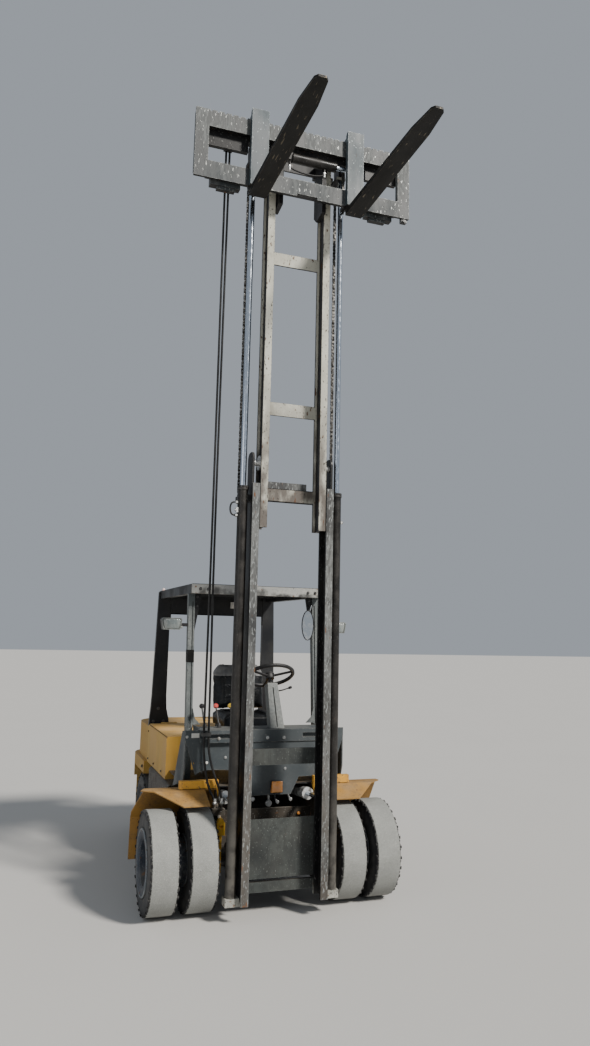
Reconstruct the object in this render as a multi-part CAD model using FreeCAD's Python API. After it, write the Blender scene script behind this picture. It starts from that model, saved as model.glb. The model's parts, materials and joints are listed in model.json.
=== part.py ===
"""Forklift truck with twin front wheels and a two-stage mast, fully raised.

Millimetres. +X is the driver's left, -Y the front, where the forks point, and +Z up. The origin is on the
ground, midway between the fork tips and the tail of the counterweight. Each sub-part goes to parts/NODE.step.
"""
import FreeCAD, Part
import os
from math import cos, hypot, pi, radians, sin, tan

V = FreeCAD.Vector
X_AXIS = V(1, 0, 0)
Y_AXIS = V(0, 1, 0)
Z_AXIS = V(0, 0, 1)

# Fits
rest_gap = 0.3            # between a piece and its seat on another body
running_gap = 0.3         # round a shaft or rod, on the radius
mast_gap = 6.0            # between the two mast channels
slide_gap = 4.0           # between carriage and fork frame
hook_gap = 0.3            # between a fork's hooks and the fork frame
roller_gap = 1.0          # between a mast roller and the flanges it runs in
overlap = 1.0             # by which welded plates run into each other

# Mast channels
mast_face = 375.5         # front of the outer channels, ahead of the axle
mast_foot_z = 117.0
outer_flange_in = 245.0
outer_web_out = 296.0
outer_depth = 146.0
outer_web = 14.0
outer_flange = 16.0
outer_length = 2724.0
outer_head = 226.0        # the web goes on this far above the flanges, with the roller
inner_flange_in = 188.0
inner_flange_out = outer_flange_in - mast_gap
inner_setback = 5.0
inner_depth = 135.0
inner_web = 14.0
inner_flange = 15.0
inner_foot_s = outer_length - 300.0   # inner mast's foot above the outer mast's foot, raised
inner_length = 2836.0
inner_tie = 15.0
roller_stub = 22.0

# Front wheels
axle_y = -345.0           # front axle, from the origin
tyre_radius = 327.0
tyre_width = 194.0
twin_gap = 61.0           # between the two tyres of a pair
rim_radius = 152.0
rim_wall = 7.0
hub_radius = 78.0
spindle_radius = 36.0
axle_radius = 60.0
nut_circle = 95.0
nut_radius = 13.0
nut_count = 6

# Body; the distances along it are behind the front axle
wheelbase = 1800.0
body_half = 590.0
belt_half = body_half + 22.0
side_plate_x = outer_web_out + 56.0
side_plate = 18.0
floor_z = 760.0
floor_sheet = 8.0
hood_front = 790.0
weight_front = wheelbase - 120.0
hood_rear = weight_front - 15.0
tail = wheelbase + 645.0
hood_foot_z = 702.0
hood_top_z = 1020.0
hood_sheet = 5.0
chassis_foot_z = 245.0
tank_foot_z = 300.0
tank_front = hood_front - 230.0
step_front = tank_front - 120.0
step_thickness = 30.0
cowl_y = 100.0
cowl_sheet = 8.0
cowl_rail_z = 1150.0
cowl_half = body_half - 120.0
outrigger_y = (60.0, cowl_y - rest_gap)
outrigger_z = (765.0, 818.0)
arch_top_z = 600.0        # top of the rear wheel arches
engine_foot_z = 330.0
hinge_radius = 9.0
hinge_x = [(340.0, 379.7), (380.0, 440.0), (440.3, 480.0)]   # hood's, counterweight's and hood's knuckle
tow_pin_radius = 16.0
tow_pin_setback = 50.0    # ahead of the tail
tow_pin_z = (505.0, 641.0)
tow_slot_z = (545.0, 600.0)
upper_setback = 75.0      # of the counterweight above its belt, ahead of the tail
grille_half = 300.0
grille_z = (790.0, 930.0)
grille_depth = 160.0

# Where the front wheels stand
inner_tyre_x = side_plate_x + side_plate + 47.0 + tyre_width / 2
outer_tyre_x = inner_tyre_x + tyre_width + twin_gap
axle_half_length = side_plate_x + 40.0

# Rear wheels
rear_tyre_radius = 285.0
rear_tyre_width = 172.0
rear_tyre_x = body_half - 68.0
rear_rim_radius = 127.0
rear_spindle_radius = 26.0
kingpin_x = rear_tyre_x - 150.0
kingpin_radius = 20.0
steer_beam_half_depth = 46.0
pivot_radius = 45.0
pivot_rise = 60.0         # steer axle's centre pin above the wheels' axis
wheel_sweep = 388.0       # radius about a kingpin that the turned wheel needs

# Lift cylinders and chains
barrel_x = 346.0
barrel_setback = 75.0     # axis behind the mast's front face
barrel_radius = 35.0
barrel_top_z = mast_foot_z + outer_length - 46.0
barrel_foot_z = mast_foot_z + 43.0
rod_radius = 21.0
rod_overlap = 150.0       # rod left in the barrel, raised
rod_top_z = mast_foot_z + inner_foot_s + inner_length - 142.0
head_depth = 22.0         # thickness of the inner mast's head over a rod
sheave_radius = 72.0
sheave_width = 26.0
sheave_lip = 9.0
sheave_pin = 16.0
sheave_z = rod_top_z + 108.0
chain_width = 20.0
chain_depth = 16.0
chain_pitch = 25.4
chain_waist = 2.5         # a link's waist, in from its pins, on each side
chain_bolt = 9.0

# Carriage and fork frame
frame_ahead = 127.0       # fork frame's front face, ahead of the mast's front face
frame_half = 821.0
frame_foot_s = inner_foot_s + inner_length - 457.0   # its lower edge above the outer mast's foot
frame_height = 508.0
bar_height = 125.0
bar_depth = 40.0
bar_lip = 20.0
end_width = 95.0
notch_pitch = 51.0
carriage_bar_depth = 33.0
carriage_half = 730.0
side_plate_in = 150.0
side_plate_out = 180.0
side_plate_drop = 60.0    # the carriage's side plates, below the fork frame
chain_lug_top = 70.0      # above the fork frame's lower edge
upper_bar = (165.0, 63.0) # carriage's upper bar below the fork frame's top: from, to
strip_depth = 70.0
lower_bar = (30.0, 118.0) # carriage's lower bar above the fork frame's foot: from, to
claw_drop = 22.0

# Side shift
shift_lug = (345.0, 373.0)
shift_radius = 34.0
shift_rod_radius = 18.0
shift_start = -100.0
shift_end = 238.0
shift_travel = 100.0
port_radius = 9.0
port_drop = 58.0          # lower ends of the ports, below the cylinder's axis
shift_hose_radius = 6.0

# Forks
fork_width = 125.0
fork_left_x = 365.0
fork_right_x = -366.0
shank_depth = 40.0
shank_top_over = 62.0     # above the fork frame
blade_drop = 74.0         # blade's underside below the fork frame
blade_length = 1210.0     # ahead of the shank's front face
blade_heel = 45.0
blade_tip = 14.0
blade_taper = 230.0

# Steering wheel and column
wheel_centre = (90.0, 352.0, cowl_rail_z + 362.0)   # across, behind the axle, height
wheel_lean = 28.0
wheel_radius = 178.0
wheel_grip = 14.0
wheel_shaft_radius = 14.0
wheel_shaft_length = 92.0

# Hoses from the cowl's clamp up to the carriage's left strip; ends are across, behind the axle, height
hose_radius = 8.0
hose_end_gap = 1.6        # under the carriage's block, where a slanted hose ends
clamp_z = 1160.0
# x at the clamp, x at the carriage
hose_table = [(-474.0, -574.0), (-441.0, -549.0)]
clamp_y = 43.0
hose_top_y = -395.0
bracket_z = (600.0, 640.0)
gland_top_z = 665.0
# x of the fittings on the chassis bracket
gland_x = (-386.0, -337.0)
gland_y = 22.0

# Overhead guard
guard_half = body_half - 62.0
guard_front = 385.0
guard_rear = weight_front + 100.0
guard_top_z = 2182.0
guard_beam = 70.0
post_foot_y = 410.0
post_head_y = 500.0
post_depth = 55.0
post_width = 48.0
rear_post_y = weight_front + 20.0
rear_post_depth = 45.0

# Tilt cylinders
tilt_x = 304.0
tilt_mast_eye = (-185.0, 720.0)   # behind the axle, height
tilt_body_eye = (480.0, 668.0)
tilt_radius = 43.0
tilt_rod_radius = 17.0
tilt_pin_radius = 14.0
tilt_eye_radius = 32.0
tilt_eye_gap = 3.2
tilt_eye_half = 22.0
tilt_ear = (26.0, 38.0)   # ears, from the cylinder's axis

mast_front = axle_y - mast_face
mast_rear = mast_front + outer_depth
inner_front = mast_front + inner_setback
inner_rear = inner_front + inner_depth
frame_front = mast_front - frame_ahead
frame_rear = frame_front + bar_depth
frame_foot_z = mast_foot_z + frame_foot_s
frame_top_z = frame_foot_z + frame_height
outer_top_z = mast_foot_z + outer_length
inner_foot_z = mast_foot_z + inner_foot_s
inner_top_z = inner_foot_z + inner_length
barrel_y = mast_front + barrel_setback
rear_axle_y = axle_y + wheelbase
carriage_front = frame_rear + slide_gap
carriage_back = carriage_front + carriage_bar_depth
web_in = (inner_flange_in + inner_flange_out - inner_web) / 2
rear_cut = wheelbase - wheel_sweep - 12.0
chain_ahead = barrel_radius + 6 + chain_depth / 2
chain_behind = 2 * (sheave_radius + chain_depth / 2) - chain_ahead
sheave_y = barrel_y + (chain_behind - chain_ahead) / 2


def box(x, y, z):
    """A block between the pairs of limits x, y and z."""
    return Part.makeBox(x[1] - x[0], y[1] - y[0], z[1] - z[0], V(x[0], y[0], z[0]))


def rod(radius, start, end):
    """A round bar from start to end."""
    run = V(*end) - V(*start)
    return Part.makeCylinder(radius, run.Length, V(*start), run)


def plate_x(outline, x):
    """A plate across X whose outline is a list of (y, z)."""
    wire = Part.makePolygon([V(x[0], y, z) for y, z in outline + outline[:1]])
    return Part.Face(wire).extrude(V(x[1] - x[0], 0, 0))


def plate_y(outline, y):
    """A plate across Y whose outline is a list of (x, z)."""
    wire = Part.makePolygon([V(px, y[0], z) for px, z in outline + outline[:1]])
    return Part.Face(wire).extrude(V(0, y[1] - y[0], 0))


def plate_z(outline, z):
    """A plate across Z whose outline is a list of (x, y)."""
    wire = Part.makePolygon([V(px, y, z[0]) for px, y in outline + outline[:1]])
    return Part.Face(wire).extrude(V(0, 0, z[1] - z[0]))


def turned(outline, centre):
    """A solid of revolution about an X line through centre; the outline is (x, radius) pairs."""
    x, y, z = centre
    wire = Part.makePolygon([V(x + px, y, z + r) for px, r in outline + outline[:1]])
    return Part.Face(wire).revolve(V(x, y, z), X_AXIS, 360)


def turned_up(outline, centre):
    """A solid of revolution about a Z line through centre; the outline is (radius, z) pairs."""
    x, y, z = centre
    wire = Part.makePolygon([V(x + r, y, z + pz) for r, pz in outline + outline[:1]])
    return Part.Face(wire).revolve(V(x, y, z), Z_AXIS, 360)


def mirrored(shape):
    """The same shape on the other side of the machine."""
    return shape.mirror(V(0, 0, 0), X_AXIS)


def both(shape):
    """A shape and its mirror image."""
    return [shape, mirrored(shape)]


def joined(shapes):
    """The shapes as one solid where they touch."""
    first, rest = shapes[0], shapes[1:]
    whole = first.multiFuse(rest) if rest else first
    return whole.removeSplitter()


def hose(points, radius):
    """A hose along straight runs, with the largest tangent arcs that the runs allow."""
    stops = [V(*p) for p in points]
    edges = []
    start = stops[0]
    for before, corner, after in zip(stops, stops[1:], stops[2:]):
        into = (corner - before).normalize()
        away = (after - corner).normalize()
        turn = into.getAngle(away)
        reach = 0.45 * min(before.distanceToPoint(corner), after.distanceToPoint(corner))
        bend = reach / tan(turn / 2)
        first = corner - into * reach
        last = corner + away * reach
        middle = corner + (away - into).normalize() * (bend / cos(turn / 2) - bend)
        edges += [Part.LineSegment(start, first).toShape(), Part.Arc(first, middle, last).toShape()]
        print(f"hose bend radius {bend:.0f} mm")
        start = last
    edges.append(Part.LineSegment(start, stops[-1]).toShape())
    path = Part.Wire(edges)
    ring = Part.Wire([Part.makeCircle(radius, stops[0], stops[1] - stops[0])])
    tube = path.makePipeShell([ring], True, True)
    print(f"hose length {path.Length:.0f} mm, volume {tube.Volume / (pi * radius ** 2 * path.Length):.4f}")
    return tube


def save(node, shapes):
    """Write one node, made of one or more separate solids."""
    solids = [s for shape in shapes for s in shape.Solids]
    whole = solids[0] if len(solids) == 1 else Part.makeCompound(solids)
    whole.exportStep(f"parts/{node}.step")


def tyre(radius, width, bead, centre):
    """A worn tyre: flat crown, bevelled shoulders and sidewalls that bulge at mid height."""
    half = width / 2
    # half width, radius
    profile = [(half - 24, bead), (half, bead + 0.45 * (radius - bead)), (half - 6, radius - 14),
               (half - 17, radius)]
    return turned(profile + [(-px, r) for px, r in reversed(profile)], centre)


def rim(radius, width, dish_x, wall):
    """Outline of one rim: flanges, well and disc, which stands dish_x from the rim's middle."""
    half = width / 2 - 10
    lip = radius + 12
    disc = 6
    eye = 40
    return [(-half, lip), (-half + 8, lip), (-half + 12, radius), (half - 12, radius), (half - 8, lip),
            (half, lip), (half, radius - wall), (dish_x + disc, radius - wall), (dish_x + disc, eye),
            (dish_x - disc, eye), (dish_x - disc, radius - wall), (-half, radius - wall)]


def front_wheels():
    """The left pair of front wheels, at +X: two tyres, and their rims on one hub."""
    z = tyre_radius
    bead = rim_radius + rest_gap
    tyres = [tyre(tyre_radius, tyre_width, bead, (x, axle_y, z)) for x in (inner_tyre_x, outer_tyre_x)]
    middle = (inner_tyre_x + outer_tyre_x) / 2
    disc = 6
    rims = []
    # wheel's place, side of the middle on which its disc lies
    for x, side in ((inner_tyre_x, -1), (outer_tyre_x, 1)):
        dish = middle + side * disc - x
        rims.append(turned(rim(rim_radius, tyre_width, dish, rim_wall), (x, axle_y, z)))
    hub_start = axle_half_length + 8
    hub_end = middle + 55
    hub = rod(hub_radius, (hub_start, axle_y, z), (hub_end, axle_y, z))
    hub = hub.cut(rod(spindle_radius + running_gap, (hub_start, axle_y, z), (hub_end - 20, axle_y, z)))
    flange_x = (middle - 30, middle - 2 * disc)
    flange = rod(nut_circle + 17, (flange_x[0], axle_y, z), (flange_x[1], axle_y, z))
    flange = flange.cut(rod(hub_radius - 5, (flange_x[0], axle_y, z), (flange_x[1], axle_y, z)))
    nuts = []
    for index in range(nut_count):
        turn = 2 * pi * index / nut_count
        y = axle_y + nut_circle * cos(turn)
        height = z + nut_circle * sin(turn)
        nuts.append(rod(nut_radius, (flange_x[1], y, height), (middle + 34, y, height)))
    return tyres, joined(rims + [hub, flange] + nuts)


def rear_wheel():
    """The left rear wheel, at +X, and the knuckle that carries it."""
    z = rear_tyre_radius
    centre = (rear_tyre_x, rear_axle_y, z)
    rubber = tyre(rear_tyre_radius, rear_tyre_width, rear_rim_radius + rest_gap, centre)
    outline = rim(rear_rim_radius, rear_tyre_width, 10, rim_wall)
    hub_start = rear_tyre_x - 78
    hub_end = rear_tyre_x + 60
    metal = joined([turned(outline, centre),
                    rod(58, (hub_start, rear_axle_y, z), (hub_end, rear_axle_y, z))])
    bore = rod(rear_spindle_radius + running_gap, (hub_start, rear_axle_y, z), (hub_end - 15, rear_axle_y, z))
    metal = metal.cut(bore)
    x = kingpin_x
    pin = rod(kingpin_radius, (x, rear_axle_y, z - 110), (x, rear_axle_y, z + 92))
    carrier = box((x - 30, x + 34), (rear_axle_y - 34, rear_axle_y + 34), (z - 52, z + 52))
    spindle = rod(rear_spindle_radius, (x + 20, rear_axle_y, z), (rear_tyre_x + 40, rear_axle_y, z))
    collar = rod(44, (x + 20, rear_axle_y, z), (hub_start - 2, rear_axle_y, z))
    arm = box((x - 25, x + 25), (rear_axle_y - 25, rear_axle_y + 130), (z - 110, z - 92))
    return rubber, metal, joined([pin, carrier, spindle, collar, arm])


def steer_pivot(radius):
    """The steer axle's centre pin, which sits in the counterweight's keel ahead and behind."""
    z = rear_tyre_radius + pivot_rise
    return rod(radius, (0, rear_axle_y - 130, z), (0, rear_axle_y + 200, z))


def steer_axle():
    """Beam with a fork for each kingpin, hung from a centre pin under the counterweight."""
    z = rear_tyre_radius
    depth = (rear_axle_y - steer_beam_half_depth, rear_axle_y + steer_beam_half_depth)
    beam_half = kingpin_x - 72
    arm_height = 27
    parts = [box((-beam_half, beam_half), depth, (z - 85, z + 85))]
    for side in (-1, 1):
        ends = sorted((side * (beam_half - 20), side * (kingpin_x + 36)))
        for low in (z - 85, z + 58):
            arm = box(ends, depth, (low, low + arm_height))
            pin = rod(kingpin_radius + running_gap, (side * kingpin_x, rear_axle_y, low),
                      (side * kingpin_x, rear_axle_y, low + arm_height))
            parts.append(arm.cut(pin))
    parts.append(steer_pivot(pivot_radius))
    ram_y = rear_axle_y + steer_beam_half_depth + 34
    ram_z = z - 40
    parts.append(rod(32, (-170, ram_y, ram_z), (170, ram_y, ram_z)))
    parts.append(box((-60, 60), (rear_axle_y + 30, ram_y), (ram_z - 20, ram_z + 20)))
    parts.append(rod(14, (-225, ram_y, ram_z), (225, ram_y, ram_z)))
    return joined(parts)


def front_axle():
    """Axle tube with its centre housing and spindles."""
    z = tyre_radius
    spindle_end = (inner_tyre_x + outer_tyre_x) / 2 + 18.5
    seal = axle_half_length - 16
    parts = [rod(axle_radius, (-axle_half_length, axle_y, z), (axle_half_length, axle_y, z)),
             rod(118, (-110, axle_y, z), (110, axle_y, z))]
    for side in (-1, 1):
        root = (side * (axle_half_length - 5), axle_y, z)
        parts.append(rod(spindle_radius, root, (side * spindle_end, axle_y, z)))
        parts.append(rod(92, (side * seal, axle_y, z), (side * axle_half_length, axle_y, z)))
    return joined(parts)


def channel_outer():
    """Outer channel on +X: it opens inwards, and its round-topped web stands higher to carry the roller."""
    z = (mast_foot_z, outer_top_z)
    web_inside = outer_web_out - outer_web
    whole = box((outer_flange_in, outer_web_out), (mast_front, mast_rear), z)
    hollow = box((outer_flange_in - 1, web_inside),
                 (mast_front + outer_flange, mast_rear - outer_flange), (z[0] - 1, z[1] + 1))
    head = box((web_inside, outer_web_out), (mast_front + 22, mast_rear), (z[1] - 5, z[1] + outer_head))
    head_top = z[1] + outer_head - 1
    upper = [e for e in head.Edges if e.BoundBox.ZMin > head_top and e.BoundBox.YLength < 1]
    head = head.makeFillet(48, upper)
    roller_radius = inner_depth / 2 - inner_flange - roller_gap
    y = inner_front + inner_depth / 2
    height = z[1] + outer_head - roller_radius - 20
    roller = rod(roller_radius, (web_in + inner_web + 2, y, height), (inner_flange_out, y, height))
    stub = rod(roller_stub, (inner_flange_out - 4, y, height), (outer_web_out - 4, y, height))
    return joined([whole.cut(hollow), head, roller, stub])


def tilt_bracket():
    """The two ears and the pin that a tilt rod's eye turns on, on +X."""
    y = axle_y + tilt_mast_eye[0]
    z = tilt_mast_eye[1]
    back = mast_rear
    pieces = [box((outer_flange_in + 6, tilt_x + tilt_ear[1]), (back - overlap, back + 5), (z - 60, z + 60))]
    outline = [(back, z - 55), (y, z - 28), (y + 24, z), (y, z + 28), (back, z + 55)]
    for ear in ((tilt_x - tilt_ear[1], tilt_x - tilt_ear[0]), (tilt_x + tilt_ear[0], tilt_x + tilt_ear[1])):
        pieces.append(plate_x(outline, ear))
    pieces.append(rod(tilt_pin_radius, (tilt_x - tilt_ear[1], y, z), (tilt_x + tilt_ear[1], y, z)))
    return joined(pieces)


def axle_strap():
    """The strap on +X by which the mast hangs on the front axle."""
    x = (outer_flange_in + 4, outer_web_out)
    z = tyre_radius
    back = mast_rear
    ahead = axle_y - 20
    plate = plate_x([(back - 2, z - 127), (ahead, z - 102), (ahead, z + 103), (back - 2, z + 233)], x)
    ring = rod(axle_radius + 30, (x[0], axle_y, z), (x[1], axle_y, z))
    bore = rod(axle_radius + running_gap, (x[0] - 1, axle_y, z), (x[1] + 1, axle_y, z))
    return joined([plate, ring]).cut(bore)


def barrel_seats():
    """On +X: the foot under a lift barrel, the collar near its top and the chain's anchor."""
    inside = outer_web_out - overlap
    foot = box((inside, barrel_x + barrel_radius + 6), (barrel_y - 34, barrel_y + 44),
               (mast_foot_z - 8, barrel_foot_z))
    top = barrel_top_z - 30
    collar = box((inside, barrel_x + 12), (barrel_y - 24, mast_rear - 4), (top - 40, top))
    collar = collar.cut(rod(barrel_radius, (barrel_x, barrel_y, top - 50), (barrel_x, barrel_y, top + 10)))
    anchor = box((inside, barrel_x + 18), (mast_rear - 20, barrel_y + chain_behind + 14), (top - 30, top))
    return foot, joined([collar, anchor])


def outer_mast():
    """Outer mast: two channels, ties behind them, axle straps and tilt brackets."""
    back = mast_rear
    parts = both(channel_outer())
    # ties: lower edge above the mast's foot, height, thickness
    ties = [(33, 65, 24), (118, 375, 12), (838, 105, 24), (outer_length - 96, 95, 24)]
    tie_half = outer_web_out - 2
    for low, height, thick in ties:
        z = mast_foot_z + low
        parts.append(box((-tie_half, tie_half), (back, back + thick), (z, z + height)))
    for piece in (axle_strap(), tilt_bracket(), *barrel_seats()):
        parts += both(piece)
    return joined(parts)


def lift_barrel():
    """Barrel on +X with its gland and its oil port, bored for the rod."""
    body = rod(barrel_radius, (barrel_x, barrel_y, barrel_foot_z), (barrel_x, barrel_y, barrel_top_z))
    gland = rod(barrel_radius + 4, (barrel_x, barrel_y, barrel_top_z),
                (barrel_x, barrel_y, barrel_top_z + 30))
    port_z = barrel_top_z - 175
    port = rod(port_radius, (barrel_x, barrel_y, port_z), (barrel_x + barrel_radius + 18, barrel_y, port_z))
    bore = rod(rod_radius + running_gap, (barrel_x, barrel_y, barrel_foot_z + 20),
               (barrel_x, barrel_y, barrel_top_z + 31))
    return joined([body, gland, port]).cut(bore)


def barrel_loop():
    """The short oil hose on the right barrel, from its port up to a port near the gland."""
    x = -(barrel_x + barrel_radius + 18 + rest_gap)
    low = barrel_top_z - 175
    high = barrel_top_z - 85
    # out from the port, height
    route = [(0, low), (-18, low), (-32, low + 26), (-32, high - 26), (-18, high), (0, high)]
    return hose([(x + out, barrel_y, z) for out, z in route], shift_hose_radius)


def channel_inner():
    """Inner channel on +X: flanges to both sides of its web, and a foot roller in the outer channel."""
    z = (inner_foot_z, inner_top_z)
    flange_x = (inner_flange_in, inner_flange_out)
    parts = [box(flange_x, (inner_front, inner_front + inner_flange), z),
             box(flange_x, (inner_rear - inner_flange, inner_rear), z),
             box((web_in, web_in + inner_web), (inner_front, inner_rear), z)]
    radius = outer_depth / 2 - outer_flange - roller_gap
    y = (mast_front + mast_rear) / 2
    height = z[0] + radius + 20
    parts.append(rod(radius, (outer_flange_in + 3, y, height), (outer_web_out - outer_web - 3, y, height)))
    parts.append(rod(roller_stub, (web_in + inner_web - 3, y, height), (outer_flange_in + 5, y, height)))
    return joined(parts)


def inner_mast():
    """Inner mast: two channels, ties at the rear between them, and a head for rods and sheaves."""
    parts = both(channel_inner())
    tie_depth = (inner_rear - inner_tie, inner_rear)
    tie_half = inner_flange_in + 5
    # ties: lower edge as a share of the mast's length, height
    ties = [(0.0423, 90), (0.2257, 95), (0.5959, 95), (0.9577, 100)]
    for share, height in ties:
        z = inner_foot_z + share * inner_length
        parts.append(box((-tie_half, tie_half), tie_depth, (z, z + height)))
    return joined(parts + both(head_bracket()))


def head_bracket():
    """The inner mast's head on +X: it reaches behind the outer channel to the rod and the sheave."""
    ahead = barrel_y - rod_radius - 1
    behind = (mast_rear + 7, mast_rear + 26)
    rise = (rod_top_z + 15, rod_top_z + 65)
    top = rod_top_z + head_depth
    ear_gap = sheave_width / 2 + 3
    ear = 10
    reach = inner_flange_in - 38
    pieces = [box((reach, inner_flange_in), (inner_rear - overlap, behind[1]), rise),
              box((reach, outer_web_out + 18), behind, rise),
              box((outer_web_out + 8, barrel_x + 30), (ahead, behind[1]), (rod_top_z, top))]
    for x in (barrel_x - ear_gap - ear, barrel_x + ear_gap):
        pieces.append(box((x, x + ear), (ahead, sheave_y + 22), (top - overlap, sheave_z + 28)))
    pin_half = ear_gap + ear
    pin = rod(sheave_pin, (barrel_x - pin_half, sheave_y, sheave_z),
              (barrel_x + pin_half, sheave_y, sheave_z))
    return joined(pieces + [pin])


def sheave():
    """A grooved chain sheave on +X."""
    half = sheave_width / 2
    lip = sheave_radius + sheave_lip
    bore = sheave_pin + running_gap
    outline = [(-half, bore), (-half, lip), (-half + 2, lip), (-half + 2, sheave_radius),
               (half - 2, sheave_radius), (half - 2, lip), (half, lip), (half, bore)]
    return turned(outline, (barrel_x, sheave_y, sheave_z))


def chain_wrap():
    """The length of leaf chain that lies over a sheave on +X."""
    half = chain_width / 2
    centre = (barrel_x - half, sheave_y, sheave_z)
    end = (barrel_x + half, sheave_y, sheave_z)
    ring = rod(sheave_radius + chain_depth, centre, end)
    ring = ring.cut(rod(sheave_radius + rest_gap, centre, end))
    reach = 2 * sheave_radius
    above = box((centre[0] - 1, end[0] + 1), (sheave_y - reach, sheave_y + reach),
                (sheave_z + rest_gap, sheave_z + reach))
    return ring.common(above)


def strand(y, low, high):
    """A straight strand of leaf chain on +X: pins at every pitch, and the links' waists between them."""
    half = chain_width / 2
    count = int((high - low) / chain_pitch)
    edge = []
    for index in range(count):
        z = low + index * chain_pitch
        edge += [(half, z), (half - chain_waist, z + chain_pitch / 2)]
    edge += [(half, low + count * chain_pitch), (half, high)]
    outline = [(barrel_x + px, z) for px, z in edge] + [(barrel_x - px, z) for px, z in reversed(edge)]
    return plate_y(outline, (y - chain_depth / 2, y + chain_depth / 2))


def chain_rear():
    """Rear strand of a leaf chain on +X, from the outer mast's anchor up to the sheave."""
    return strand(barrel_y + chain_behind, barrel_top_z - 30, sheave_z)


def chain_front():
    """Front strand with its anchor bolt, from the carriage up to the sheave."""
    y = barrel_y - chain_ahead
    low = frame_foot_z + chain_lug_top
    bolt = rod(chain_bolt, (barrel_x, y, low - 45), (barrel_x, y, low + 5))
    return joined([strand(y, low, sheave_z), bolt])


def carriage_side():
    """One side plate of the carriage, with its rollers and the chain's lug, on +X."""
    low = frame_foot_z
    roller_radius = inner_depth / 2 - inner_flange - roller_gap
    roller_y = inner_front + inner_depth / 2
    plate_back = inner_rear - inner_tie - mast_gap
    upper_top = frame_top_z - upper_bar[1]
    foot = low - side_plate_drop
    pieces = [plate_x([(carriage_back - overlap, foot + 20), (plate_back - 50, foot), (plate_back, foot + 50),
                       (plate_back, upper_top - 30), (carriage_back - overlap, upper_top)],
                      (side_plate_in, side_plate_out))]
    inside = inner_flange_in - 4
    for height in (low + lower_bar[0] + 70, upper_top - 80):
        pieces.append(rod(roller_radius, (inside, roller_y, height), (web_in - 2, roller_y, height)))
        pieces.append(rod(24, (side_plate_out - 2, roller_y, height), (inner_flange_in, roller_y, height)))
    chain_y = barrel_y - chain_ahead
    lug_top = low + chain_lug_top
    lug = box((barrel_x - 18, barrel_x + 18), (carriage_back - overlap, chain_y + 14),
              (lug_top - 22, lug_top))
    hole = rod(chain_bolt + rest_gap, (barrel_x, chain_y, low), (barrel_x, chain_y, lug_top + 10))
    pieces.append(lug.cut(hole))
    return joined(pieces)


def carriage():
    """Lift carriage: two bars, two side plates with rollers, chain lugs, and the hoses' block."""
    depth = (carriage_front, carriage_back)
    across = (-carriage_half, carriage_half)
    upper = (frame_top_z - upper_bar[0], frame_top_z - upper_bar[1])
    parts = [box(across, depth, upper),
             box(across, depth, (frame_foot_z + lower_bar[0], frame_foot_z + lower_bar[1]))]
    # strips under the upper bar, clear of the side-shift lug: side, start
    for side, start in ((-1, 430.0), (1, shift_lug[1] + shift_travel + 7)):
        strip = sorted((side * start, side * carriage_half))
        parts.append(box(strip, depth, (upper[0] - strip_depth, upper[0] + 2)))
    block_z = hose_block_z()
    ends = [top for low, top in hose_table]
    block_y = (carriage_back - overlap, axle_y + hose_top_y + 15)
    parts.append(box((min(ends) - 18, max(ends) + 18), block_y, block_z))
    return joined(parts + both(carriage_side()))


def hose_block_z():
    """Lower and upper face of the block on the carriage that the lift hoses reach."""
    low = frame_top_z - upper_bar[0] - strip_depth + 20
    return low, low + 38


def shift_axis():
    """Y and Z of the side-shift cylinder's axis."""
    y = carriage_back - overlap - shift_radius - rest_gap
    return y, frame_top_z - upper_bar[0] - shift_radius - rest_gap


def shift_barrel():
    """Side-shift cylinder barrel between the carriage bars, with a port at each end."""
    y, z = shift_axis()
    body = rod(shift_radius, (shift_start, y, z), (shift_end, y, z))
    bore = rod(shift_rod_radius + running_gap, (shift_start + 30, y, z), (shift_end + 1, y, z))
    bracket = box((shift_start - 36, shift_start), (y - 16, y + shift_radius), (z - 20, z + shift_radius))
    whole = joined([body.cut(bore), bracket])
    # port: place across, top below the axis
    for x, top in ((shift_start - 18, 18), (shift_end - 88, shift_radius - 4)):
        whole = joined([whole, rod(port_radius, (x, y, z - port_drop), (x, y, z - top))])
    return whole


def shift_hose():
    """The hose that hangs between the side-shift cylinder's two ports."""
    y, z = shift_axis()
    start = shift_start - 18
    end = shift_end - 88
    low = z - port_drop - rest_gap
    # across, below the ports
    route = [(start, 0), (start, 22), (start + 90, 42), (end - 70, 44), (end, 24), (end, 0)]
    return hose([(x, y, low - drop) for x, drop in route], shift_hose_radius)


def shift_rod():
    """Side-shift rod, fixed to the fork frame's lug."""
    y, z = shift_axis()
    return rod(shift_rod_radius, (60, y, z), (shift_lug[1] + 2, y, z))


def frame_bars():
    """The fork frame's notched upper bar, its lower bar with the cut-out for the forks, and end plates."""
    low = frame_foot_z
    top = frame_top_z
    across = (-frame_half, frame_half)
    step = 28
    lip = frame_front + bar_lip
    upper = plate_x([(frame_front, top - bar_height), (frame_rear, top - bar_height),
                     (frame_rear, top - step), (lip, top - step), (lip, top), (frame_front, top)], across)
    lower = plate_x([(frame_front, low), (lip, low), (lip, low + step), (frame_rear, low + step),
                     (frame_rear, low + bar_height), (frame_front, low + bar_height)], across)
    for index in range(-14, 15):
        x = index * notch_pitch
        upper = upper.cut(box((x - 8, x + 8), (frame_front - 1, lip + 1), (top - 11, top + 1)))
    lower = lower.cut(box((-70, 85), (frame_front - 1, lip + 1), (low - 1, low + 18)))
    ends = box((frame_half - end_width, frame_half), (frame_front, frame_rear),
               (low + bar_height - overlap, top - bar_height + overlap))
    stop = box((frame_half - 60, frame_half - 15), (frame_front + 8, frame_rear),
               (low - step, low + step + overlap))
    return [upper, lower, stop] + both(ends)


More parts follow.
